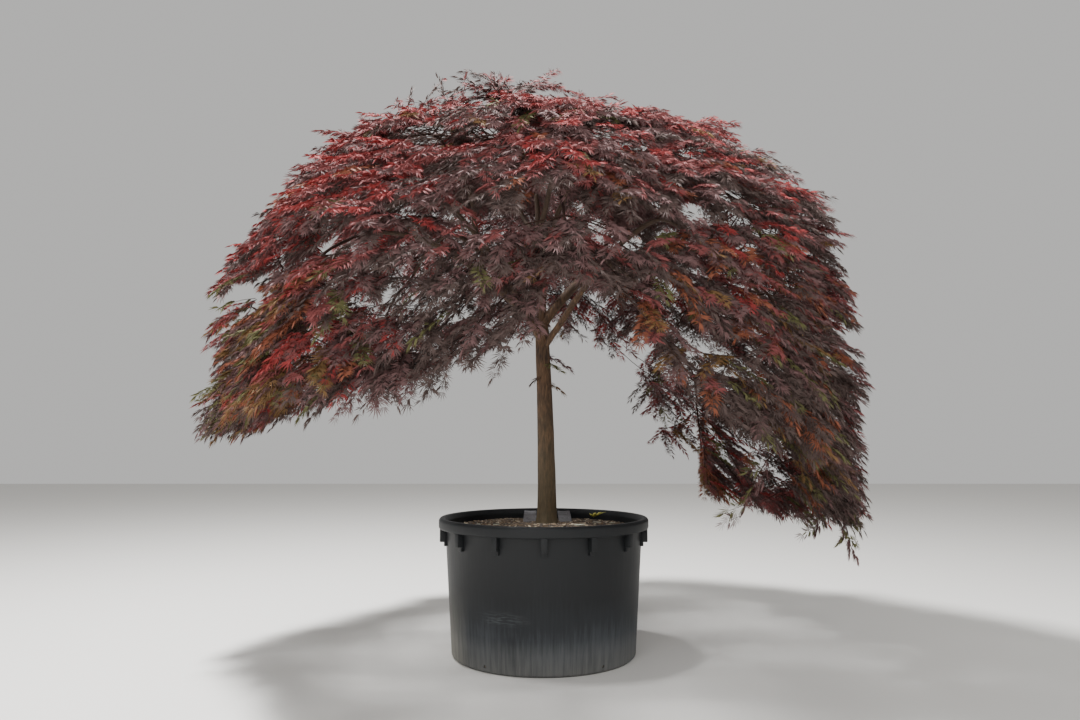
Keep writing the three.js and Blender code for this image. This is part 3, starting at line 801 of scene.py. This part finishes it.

# Bark of a maple in its prime: grey brown, greened near the soil, with dark furrows and pale flecks,
# and darkened above the fork with painted shade, where the crown shades the boughs. It is dull. The
# furrows are drawn about 10 mm apart, coarser than they are, so that they show.
bark, shader = new_material("furrowed maple bark", "#57453a", 0.86)
place = object_place(bark)
furrows = speckle(bark, stretched(bark, place, (1, 1, 0.16)), 95, 6, 0.62)
blotches = speckle(bark, place, 9, 4)
grain = shades_of(bark, furrows, [
    (0.32, "#352a22"), (0.47, "#624e3f"), (0.6, "#7b614a"), (0.75, "#928069")])
tone = shades_of(bark, blotches, [(0.35, "#8f7f70"), (0.6, "#c9b8a2")])
multiplied = {"data_type": "RGBA", "blend_type": "MULTIPLY", 0: 0.7}
tinted = add_node(bark, "ShaderNodeMix", multiplied, {6: grain, 7: tone}).outputs[2]
height = add_node(bark, "ShaderNodeSeparateXYZ", {}, {"Vector": place}).outputs["Z"]
near_soil = ranged(bark, height, 1.7, 0.8, 0.0, 0.6)
greened = covered(bark, near_soil, tinted, "#5d563f")
# Painted shade: above the fork the bark darkens towards #37291f, as the crown shades the boughs.
painted_crown_shade = ranged(bark, height, 2.15, 2.5, 0.0, 0.75)
lead(bark, shader, Base_Color=covered(bark, painted_crown_shade, greened, "#37291f"),
     Normal=raised(bark, furrows, 0.7, 0.003))

shares = np.linspace(0, 1, len(trunk_path))[:, None]
turns = (np.arange(TRUNK_SIDES) * math.tau / TRUNK_SIDES)[None, :]
spread = FLARE_RADIUS - FOOT_RADIUS + ROOT_LOBE_DEPTH * np.cos(ROOT_LOBES * turns)
trunk_radii = mix(FOOT_RADIUS, FORK_RADIUS, shares ** 0.9) + spread * np.exp(-shares * FLARE_FADE)
trunk_radii = bark_relief(trunk_path, trunk_radii, TRUNK_RELIEF, TRUNK_GRAIN)
trunk = mesh_piece("trunk_bark", *tube(trunk_path, trunk_radii), bark)
trunk.data.shade_smooth()
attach(trunk, "root")
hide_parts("trunk")

limb_tubes = []
for name, (start_radius, end_radius) in limb_radii.items():
    path = even(limbs[name], LIMB_RINGS)
    wander = np.array([[noise.noise(Vector((i * 0.09, axis * 7.0, len(name) * 3.1))) for axis in range(3)]
                       for i in range(len(path))])
    grip = np.sin(np.linspace(0, math.pi, len(path)))[:, None]
    path = path + LIMB_WANDER * wander * grip
    radii = taper(path, start_radius, end_radius, LIMB_SIDES)
    limb_tubes.append(tube(path, bark_relief(path, radii, LIMB_RELIEF, LIMB_GRAIN)))
boughs = mesh_piece("bough_bark", *joined(limb_tubes), bark)
boughs.data.shade_smooth()
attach(boughs, "root")
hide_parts(*limb_radii)


# From each limb a stem runs on over the crown. Side twigs leave it in rows, and twiglets spread from
# them into flat drooping shelves, with cut leaves in opposite pairs. A leaf is a hand of thin lobes.
TIERS = {"tuft": (0, 0.17), "top": (0.17, 0.42), "shoulder": (0.42, 0.71), "curtain": (0.71, 1.03)}
OUTERMOST = {"tuft": 1.07, "top": 1.03, "shoulder": 1.05, "curtain": 1.032}
TALLEST = 3.565
HIGHEST_LEAF = 3.583
LEFTMOST = -2.135
RAGGED = 0.09
STEM_DEPTH = (0.91, 0.97)
STEM_KNOTS = (0.04, 0.33, 0.6, 0.8)
STEM_END_TWIGLETS = 9
STEM_RADII = (0.010, 0.004)
TWIG_DEPTH = {"tuft": (0.92, 1.04), "top": (0.89, 0.98), "shoulder": (0.83, 0.96), "curtain": (0.76, 0.93)}
TWIG_RADII = (0.0042, 0.0021)
TUFT_ROWS = 11
TUFT_STEP = 0.025
SHELF_STEP = {"top": 0.13, "shoulder": 0.17, "curtain": 0.19}
TWIGLET_STEP = 0.026
TWIGLET_RADII = (0.0020, 0.0010)
TWIGLET_LENGTH = 0.29
TWIGLET_SIZES = (0.7, 1.15)
TWIGLET_TRIES = (1, 0.8, 0.6, 0.42)
TWIGLET_SWING = (-45, 75)
TWIGLET_SAG = 0.17
TWIGLET_HEM = 1.0
FRONT_LEFT_HEM = 1.04

# How steeply twiglets slope down: in the tuft, and elsewhere from the top to the hem. The three
# layers of a shelf spread from each other.
TUFT_SLOPE = (-30, 14)
TOP_SLOPE = 2
HEM_SLOPE = 32
SLOPE_CURVE = 1.7
SLOPE_SPREAD = (-12, 12)
LAYER_SLOPE = (-5, 0, 8)
LAYER_LIFT = (0.012, 0, -0.012)

# In each row a side twig for each pair: how far it reaches across its sector, and how much of it is
# bare.
REACHES = ((0.5, 0.08), (1.0, 0.42))
TOP_REACHES = ((0.3, 0.08), (0.65, 0.3), (1.0, 0.5))

LEAF_STEP = 0.030
LEAF_LENGTH = 0.061
LEAF_SIZES = (0.65, 1.15)
LEAF_STALK = 0.012
LEAF_SPREAD = (0.3, 1.45)
LEAF_RISE = (-0.25, 0.3)
LEAF_DROOP = (0.0, 0.36)
LEAF_ROLL = (-0.9, 0.9)
LEAF_PITCH = (-0.5, 0.7)
LEAF_MIDDLE = 0.6
LOBES = [(0, 1.0), (20, 0.94), (-20, 0.94), (42, 0.8), (-42, 0.8), (68, 0.52), (-68, 0.52)]
LOBE_BELLY = 0.45
LOBE_WIDTH = 0.058
LOBE_RISE = 0.04
LOBE_CURL = -0.10
PIECE_LIMIT = 190000
# The four reds are partly the leaves' own colour and partly painted light: scarlet and crimson go to sprays
# in painted light, burgundy and maroon to sprays in painted shade.
LEAF_SHADES = {
    "scarlet": "#8c3534",
    "crimson": "#7a4140",
    "burgundy": "#664b4a",
    "maroon": "#52433f",
    "orange": "#824b36",
    "bronze": "#705434",
    "olive": "#605e3b",
}

# How much painted light a spray gets in each layer, lit on top of its shelf and in painted shade
# below it, and how bright it has to be for each shade.
LAYER_PAINTED_LIGHT = (0.69, 0.46, 0.24)
SHADE_STEPS = [(0.76, "scarlet"), (0.54, "crimson"), (0.27, "burgundy")]

# Runs of shelves with painted sunlight, on the left and front left and on a shelf top at the front
# right, and one with painted shade under the top shelf at the front right: azimuths, shares, and by how much.
PAINTED_LIGHT_BANDS = [(188, 250, 0.30, 0.74, 0.15), (285, 358, 0.47, 0.60, -0.12), (290, 358, 0.60, 0.70, 0.14)]

# Where hems turn bronze, orange or olive: azimuths, the share they start from, and how often.
RUSTY_HEMS = [(172, 236, 0.72, 0.4), (288, 345, 0.6, 0.17), (36, 62, 0.8, 0.3)]
RUSTY_SHADES = ("bronze", "orange", "olive")
STRAY_RUST = 0.02

# Each stem has its tier, its azimuth, half the width of its sector, its path, the share of the path
# that runs from the limb to the shelves, and the seed of its chances.
stems = []
for tier, limb, start, end in [
    ("tuft", "leader", 0, 360),
    *[("top", "riser_" + name, *sector(first, last)) for name, (_, _, first, last) in RISERS.items()],
    *[(tier, limb + side, *sector(side, side)) for side, *_ in SIDES
      for tier, limb in (("shoulder", "bough_"), ("curtain", "arch_"))],
]:
    azimuth = (start + end) / 2
    tip = limbs[limb][-1]
    knots = [crown_point(azimuth, mix(*TIERS[tier], share), mix(*STEM_DEPTH, share)) for share in STEM_KNOTS]
    if limb == "arch_front":
        knots = knots[:2]
    path = smooth_curve([tip, *knots], 40)
    entry = np.linalg.norm(tip - knots[0]) / length_of(path)
    stems.append((tier, azimuth, (end - start) / 2, path, entry, 7919 * (len(stems) + 1)))

twigs = []
twiglets = []
leaves = {shade_name: [] for shade_name in LEAF_SHADES}


def leaf_shade(azimuth, share, layer, roll):
    """The shade of a spray: painted light on a shelf's top, painted shade under it, and bronze at some hems.
    """
    turn = azimuth % 360
    chance = roll()
    if chance < STRAY_RUST or any(first < turn < last and share > hem and chance < often
                                  for first, last, hem, often in RUSTY_HEMS):
        return RUSTY_SHADES[int(roll() * 3)]
    round_about = math.radians(azimuth)
    drift = noise.noise(Vector((math.cos(round_about) * 4.6, math.sin(round_about) * 4.6, share * 19)))
    # Painted shade: sprays low on the crown are darker, most on the front and front right.
    shaded = max(0.0, share - 0.5) * (1.0 if turn > 245 else 0.25)
    # Painted sunlight and painted shade on the runs of shelves listed above.
    painted_band_light = sum(tone for first, last, top, foot, tone in PAINTED_LIGHT_BANDS
               if first < turn < last and top < share < foot)
    bright = LAYER_PAINTED_LIGHT[layer] + 0.5 * (roll() - 0.5) + 0.36 * drift - shaded + painted_band_light
    return next((shade_name for least, shade_name in SHADE_STEPS if bright > least), "maroon")


# Daylight comes through the crown here and there, where shelves don't overlap. Each gap is an oval in
# the upright plane of the trunk, seen from the front at standing height: its middle, its half width
# and half height, and the share of the leaves that it lacks.
DAYLIGHT = [
    (-0.80, 3.39, 0.19, 0.08, 0.975), (-0.42, 3.40, 0.12, 0.055, 0.975), (-0.63, 3.65, 0.37, 0.14, 0.70),
    (1.26, 2.97, 0.10, 0.040, 0.90), (1.46, 2.90, 0.11, 0.045, 0.88), (1.30, 2.79, 0.09, 0.040, 0.90),
    (1.49, 2.71, 0.10, 0.040, 0.88), (1.36, 2.61, 0.08, 0.035, 0.88),
    (-1.98, 2.27, 0.12, 0.12, 0.80), (0.61, 3.31, 0.11, 0.06, 0.85),
    (0.39, 3.40, 0.09, 0.06, 0.85), (-1.61, 2.84, 0.07, 0.05, 0.85), (-0.81, 2.03, 0.06, 0.04, 0.50),
    (1.67, 2.40, 0.09, 0.08, 0.80), (1.00, 3.27, 0.10, 0.05, 0.85), (-1.76, 2.58, 0.06, 0.14, 0.70),
    (0.36, 2.76, 0.07, 0.05, 0.85), (0.58, 2.63, 0.08, 0.05, 0.85), (0.98, 2.86, 0.08, 0.06, 0.85),
    (0.75, 2.90, 0.05, 0.04, 0.80), (-0.40, 2.60, 0.05, 0.05, 0.80),
]


def daylight(place):
    """The share of the leaves that are missing at a place."""
    scale = EYE_DISTANCE / (EYE_DISTANCE + place[1])
    x, height = place[0] * scale, mix(EYE_HEIGHT, place[2], scale)
    for middle, level, half_width, half_height, lacking in DAYLIGHT:
        if ((x - middle) / half_width) ** 2 + ((height - level) / half_height) ** 2 < 1:
            return lacking
    return 0.0


# The hem is drawn back in front of the trunk, most to the right of it. At the back right it is cut
# on a slope. Elsewhere small gaps are scattered through the shelves.
FRONT = (246, 288)
FRONT_HEM = 0.88
FRONT_LACKS = [(270, 0.92), (262, 0.65), (246, 0.3)]
BACK_RIGHT = (54, 84)
BACK_RIGHT_HEM = 0.95
BACK_RIGHT_SLOPE = 0.18
BACK_RIGHT_TOP = 2.05
BACK_RIGHT_LACKS = 0.95
TUFT_LACKS = 0.25
GAP_SIZE = (0.16, 0.16, 0.08)
GAP_SHARE = 0.29
GAP_LACKS = 0.75


def opening(azimuth, share, place):
    """How likely a twiglet is left out, so that light comes through where the crown is thin."""
    turn = azimuth % 360
    if FRONT[0] < turn < FRONT[1] and share > FRONT_HEM:
        return next(lacking for start, lacking in FRONT_LACKS if turn > start)
    hem = min(BACK_RIGHT_TOP, BACK_RIGHT_HEM + BACK_RIGHT_SLOPE * (turn - BACK_RIGHT[0]))
    if BACK_RIGHT[0] < turn < BACK_RIGHT[1] and place[2] < hem:
        return BACK_RIGHT_LACKS
    if share < TIERS["tuft"][1]:
        return TUFT_LACKS
    gap = noise.noise(Vector([place[axis] / GAP_SIZE[axis] for axis in range(3)]))
    return GAP_LACKS if gap > GAP_SHARE else 0


def swell(azimuth, share):
    """How much further out the foliage reaches at the upper right, where the shelves are longest."""
    return 0.07 if 296 < azimuth % 360 < 356 and 0.26 < share < 0.6 else 0.0


def drooping(start, way, length, sag):
    """A path that sets off one way and sags more and more, and the direction square above it."""
    shares = np.linspace(0, 1, 6)[:, None]
    path = start + way * length * shares - np.array([0, 0, sag * length]) * shares ** 2
    return path, unit(np.array([0, 0, 1]) - way * way[2])


def leafy_twiglet(path, radii, upper, shade_name, roll, thinned=1.0):
    """A twiglet with drooping leaves in opposite pairs, thinned where daylight comes through."""
    rings = path[::2]
    twiglets.append(tube(rings, taper(rings, *radii, 3)))
    pairs = max(3, int(length_of(path) / LEAF_STEP))
    for pair in range(pairs + 1):
        share = mix(0.08, 1.0, pair / pairs)
        here = point_at(path, share)
        way = unit(point_at(path, min(1.0, share + 0.08)) - point_at(path, share - 0.1))
        across = unit(np.cross(upper, way))
        for hand in ((-1, 1) if pair < pairs else (0,)):
            aim = way + across * hand * mix(*LEAF_SPREAD, roll()) + upper * mix(*LEAF_RISE, roll())
            aim = unit(aim - np.array([0, 0, mix(*LEAF_DROOP, roll())]))
            face = unit(upper + across * mix(*LEAF_ROLL, roll()) + way * mix(*LEAF_PITCH, roll()))
            size = LEAF_LENGTH * mix(*LEAF_SIZES, roll())
            in_gap = roll() < daylight(here + aim * size * LEAF_MIDDLE) * thinned
            if here[2] + aim[2] * (LEAF_STALK + size) < HIGHEST_LEAF and not in_gap:
                leaves[shade_name].append((here + aim * LEAF_STALK, aim, face, size))


def hang_twiglet(start, tier, limit, swing, size, layer, roll):
    """A twiglet that runs outwards from the crown, pitched down with the slope, and droops."""
    azimuth, share, _ = crown_place(start)
    chance = roll()
    if tier == "tuft":
        slope = mix(*TUFT_SLOPE, roll())
    else:
        slope = TOP_SLOPE + HEM_SLOPE * share ** SLOPE_CURVE + mix(*SLOPE_SPREAD, roll())
    pitch = math.radians(slope + LAYER_SLOPE[layer])
    shade_name = leaf_shade(azimuth, share, layer, roll)
    hem = FRONT_LEFT_HEM if 232 < azimuth % 360 < 264 else TWIGLET_HEM
    for scale in TWIGLET_TRIES:
        heading = math.radians(azimuth + swing * scale)
        steep = mix(pitch, math.pi / 2, 0.3 * (1 - scale))
        flat = math.cos(steep)
        way = np.array([math.cos(heading) * flat, math.sin(heading) * flat, -math.sin(steep)])
        path, upper = drooping(start, way, TWIGLET_LENGTH * size * scale, TWIGLET_SAG)
        tip = path[-1]
        _, tip_share, tip_depth = crown_place(tip)
        inside = tip_depth < limit + swell(azimuth, tip_share) and tip_share < hem
        if not inside or tip[2] >= TALLEST or tip[0] <= LEFTMOST:
            continue
        if chance > max(opening(azimuth, tip_share, tip), daylight(tip) ** 1.5):
            break
    else:
        return
    leafy_twiglet(path, TWIGLET_RADII, upper, shade_name, roll)


def grow_twig(start, goal, tier, limit, side, bare, roll):
    """A side twig from a stem, round under the crown's surface, with twiglets along its outer part."""
    goal_azimuth, goal_share, goal_depth = goal
    shares = np.linspace(0, 1, 9)
    if tier == "tuft":
        path = mix(start, crown_point(*goal), shares[:, None])
    else:
        azimuth, share, depth = crown_place(start)
        swing = (goal_azimuth - azimuth + 180) % 360 - 180
        path = np.array([crown_point(azimuth + swing * along, mix(share, goal_share, along),
                                     mix(depth, goal_depth, along)) for along in shares])
    twigs.append(tube(path, taper(path, *TWIG_RADII, 5)))
    step = TUFT_STEP if tier == "tuft" else TWIGLET_STEP
    count = max(3, int(length_of(path) * (1 - bare) / step))
    for number in range(count + 1):
        along = mix(bare, 1.0, (number + 0.6 * roll()) / (count + 0.6))
        layer = number % 3
        foot = point_at(path, along) + np.array([0, 0, LAYER_LIFT[layer]]) * along
        swing = side * mix(*TWIGLET_SWING, roll())
        hang_twiglet(foot, tier, limit, swing, mix(*TWIGLET_SIZES, roll()), layer, roll)


def twig_goal(tier, azimuth, half, along, side, far, roll):
    """Where a side twig ends: its azimuth, share and depth."""
    low, high = TIERS[tier]
    if tier == "tuft":
        goal_azimuth, goal_share = 360 * roll(), high * mix(0.35, 1.5, roll())
    else:
        goal_azimuth = azimuth + side * half * far * mix(0.85, 1.05, roll())
        goal_share = mix(low, high, min(0.8 if tier == "curtain" else 0.95, along + 0.02))
    depth = mix(*TWIG_DEPTH[tier], roll()) + 0.8 * swell(goal_azimuth, goal_share)
    return goal_azimuth, goal_share, depth


for tier, azimuth, half, path, entry, seed in stems:
    roll = dice(seed)
    twigs.append(tube(path, taper(path, *STEM_RADII, 6)))
    low, high = (crown_point(azimuth, share, 1) for share in TIERS[tier])
    rows = TUFT_ROWS if tier == "tuft" else max(3, round(np.linalg.norm(low - high) / SHELF_STEP[tier]))
    phases = {-1: roll(), 1: roll()}
    for row in range(rows):
        for side in (-1, 1):
            for far, bare in TOP_REACHES if tier == "top" else REACHES:
                along = (row + phases[side] * 0.45 + 0.2 * roll()) / rows
                start = point_at(path, mix(entry, 1, max(0.0, along - 0.12)))
                goal = twig_goal(tier, azimuth, half, along, side, far, roll)
                limit = OUTERMOST[tier] - RAGGED * roll()
                sparse = opening(*goal[:2], crown_point(*goal))
                if sparse < 0.8 or sparse < 0.93 and roll() < 0.25:
                    grow_twig(start, goal, tier, limit, side, bare, roll)
        for layer in range(3):
            start = point_at(path, mix(entry, 1, (row + roll()) / rows))
            hang_twiglet(start, tier, OUTERMOST[tier], mix(-30, 30, roll()), 1, layer, roll)
    for number in range(STEM_END_TWIGLETS):
        start = point_at(path, mix(0.86, 1, number / (STEM_END_TWIGLETS - 1)))
        swing = mix(-60, 60, roll())
        hang_twiglet(start, tier, OUTERMOST[tier], swing, mix(0.4, 1, roll()), number % 3, roll)

# A few shoots outrun the rest. Some stand up out of the top, thin and feathery, and some hang lower
# than the hem on the right. Each is given by where it ends.
TOP_SHOOTS = [(-0.84, -0.58, 3.30), (-0.72, -0.60, 3.36), (-0.60, -0.56, 3.40), (-0.47, -0.60, 3.44),
              (-0.40, -0.58, 3.48), (-0.355, -0.60, 3.53), (-0.33, -0.57, 3.50), (-0.27, -0.60, 3.46),
              (-0.17, -0.55, 3.40)]
HEM_SHOOTS = [(1.84, -0.36, 0.70), (1.72, -0.10, 0.78), (1.03, -0.97, 0.93)]
SHOOT_SPRAYS = 7
SHOOT_RADII = (0.0032, 0.0014)
SPRAY_RADII = (0.0018, 0.0010)
SHOOT_THINNED = 0.3


def grow_shoot(goal, spread, reach, shade_names, roll):
    """A long shoot from the nearest stem to a goal, with open sprays on its outer part."""
    places = np.concatenate([stem[3][10:] for stem in stems])
    start = places[np.linalg.norm(places - goal, axis=1).argmin()]
    shares = np.linspace(0, 1, 12)[:, None]
    path = start + (goal - start) * np.hstack([shares ** 0.7, shares ** 0.7, shares ** 1.5])
    twigs.append(tube(path, taper(path, *SHOOT_RADII, 5)))
    for number in range(SHOOT_SPRAYS):
        foot = point_at(path, mix(0.4, 0.98, number / (SHOOT_SPRAYS - 1)))
        aside = np.array([roll() - 0.5, roll() - 0.5, 0.7 * (roll() - 0.5)])
        way = unit(unit(goal - start) + spread * aside)
        spray = foot + way * reach * mix(0.6, 1, roll()) * np.linspace(0, 1, 6)[:, None]
        if spray[-1][2] < TALLEST:
            outwards = unit([foot[0], foot[1], 0.5])
            shade_name = shade_names[number % len(shade_names)]
            leafy_twiglet(spray, SPRAY_RADII, outwards, shade_name, roll, SHOOT_THINNED)


roll = dice(577)
for goal in TOP_SHOOTS:
    grow_shoot(goal, 1.6, 0.17, ("maroon", "burgundy", "crimson"), roll)
for goal in HEM_SHOOTS:
    grow_shoot(goal, 1.5, 0.13, ("burgundy", "olive"), roll)

# Small sprays have sprouted straight from the trunk under the fork: the height, heading, length and
# shade of each.
TRUNK_SPRAYS = [(1.90, 12, 0.17, "burgundy"), (1.86, -40, 0.13, "olive"),
                (1.72, 8, 0.10, "bronze"), (1.76, 200, 0.07, "maroon")]
TRUNK_SPRAY_RADII = (0.0024, 0.0012)
TRUNK_SPRAY_SLOPE = -0.35
TRUNK_SPRAY_SAG = 0.2
roll = dice(811)
for height, heading, length, shade_name in TRUNK_SPRAYS:
    foot = trunk_path[np.abs(trunk_path[:, 2] - height).argmin()]
    turn = math.radians(heading)
    way = np.array([math.cos(turn), math.sin(turn), TRUNK_SPRAY_SLOPE])
    path, upper = drooping(foot, way, length, TRUNK_SPRAY_SAG)
    leafy_twiglet(path, TRUNK_SPRAY_RADII, upper, shade_name, roll)

# Young maple shoots are smooth and dark, brown red to grey.
shoot_bark, _ = new_material("dark smooth shoot bark", "#38251f", 0.85, ior=1.33)
masses = [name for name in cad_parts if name.startswith(("top_", "shoulder_", "curtain_"))]
for name, tubes in (("twigs", twigs), ("twiglets", twiglets)):
    wood = mesh_piece(name, *joined(tubes), shoot_bark)
    wood.data.shade_smooth()
    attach(wood, "root")
    if name == "twigs":
        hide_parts(*masses)

# A lobe is one slender face, bellied on its outer side, and its tip curls under.
template = [(0.0, 0.0, 0.0)]
lobe_faces = []
for angle, reach in LOBES:
    turn = math.radians(angle)
    along = np.array([math.cos(turn), math.sin(turn), 0])
    beside = np.array([-math.sin(turn), math.cos(turn), 0])
    belly = LOBE_WIDTH if angle >= 0 else -LOBE_WIDTH
    first = len(template)
    template.append(along * reach * LOBE_BELLY + beside * reach * belly + [0, 0, LOBE_RISE])
    template.append(along * reach + [0, 0, LOBE_CURL])
    lobe_faces.append((0, first + 1, first) if angle >= 0 else (0, first, first + 1))
template = np.array(template)
lobe_faces = np.array(lobe_faces)
per_piece = PIECE_LIMIT // len(lobe_faces)
for shade_name, hung in leaves.items():
    leaf_skin, _ = new_material(shade_name + " maple leaf", LEAF_SHADES[shade_name], 0.7, ior=1.33)
    for part, first in enumerate(range(0, len(hung), per_piece)):
        columns = zip(*hung[first:first + per_piece])
        roots, aims, faces, sizes = (np.array(list(column)) for column in columns)
        across = np.cross(faces, aims)
        across /= np.linalg.norm(across, axis=1)[:, None]
        above = np.cross(aims, across)
        axes = np.stack([aims, across, above], axis=1)
        places = roots[:, None] + np.einsum("vi,nij->nvj", template, axes) * sizes[:, None, None]
        corners = lobe_faces[None] + len(template) * np.arange(len(roots))[:, None, None]
        spray = mesh_piece(f"{shade_name}_leaves_{part + 1}", places.reshape(-1, 3),
                           corners.reshape(-1, 3), leaf_skin)
        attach(spray, "root")


# The studio is a plain pale floor and backdrop. A broad key light stands above and behind on the
# left, like a high sun, and softer fills stand in front.
bpy.ops.mesh.primitive_plane_add(size=40, location=(0, 0, 0))
floor = bpy.context.object
floor.name = "studio_floor"
pale_floor, _ = new_material("pale studio floor", "#d8d6d2", 0.9)
floor.data.materials.append(pale_floor)
world = bpy.context.scene.world or bpy.data.worlds.new("studio")
bpy.context.scene.world = world
world.use_nodes = True
world.node_tree.nodes["Background"].inputs["Color"].default_value = linear("#ebeae8")
world.node_tree.nodes["Background"].inputs["Strength"].default_value = 0.68
CROWN_MIDDLE = Vector((0, 0, 2.2))
for name, place, size, power in (
    ("key", (-2.8, -0.4, 9.0), 1.1, 2500),
    ("front fill", (-1.5, -7.5, 4.5), 5.0, 230),
    ("right fill", (6.0, -4.0, 5.0), 4.0, 180),
):
    bpy.ops.object.light_add(type="AREA", location=place)
    lamp = bpy.context.object
    lamp.name = name
    lamp.data.size = size
    lamp.data.energy = power
    aim = CROWN_MIDDLE - Vector(place)
    lamp.rotation_euler = aim.to_track_quat("-Z", "Y").to_euler()
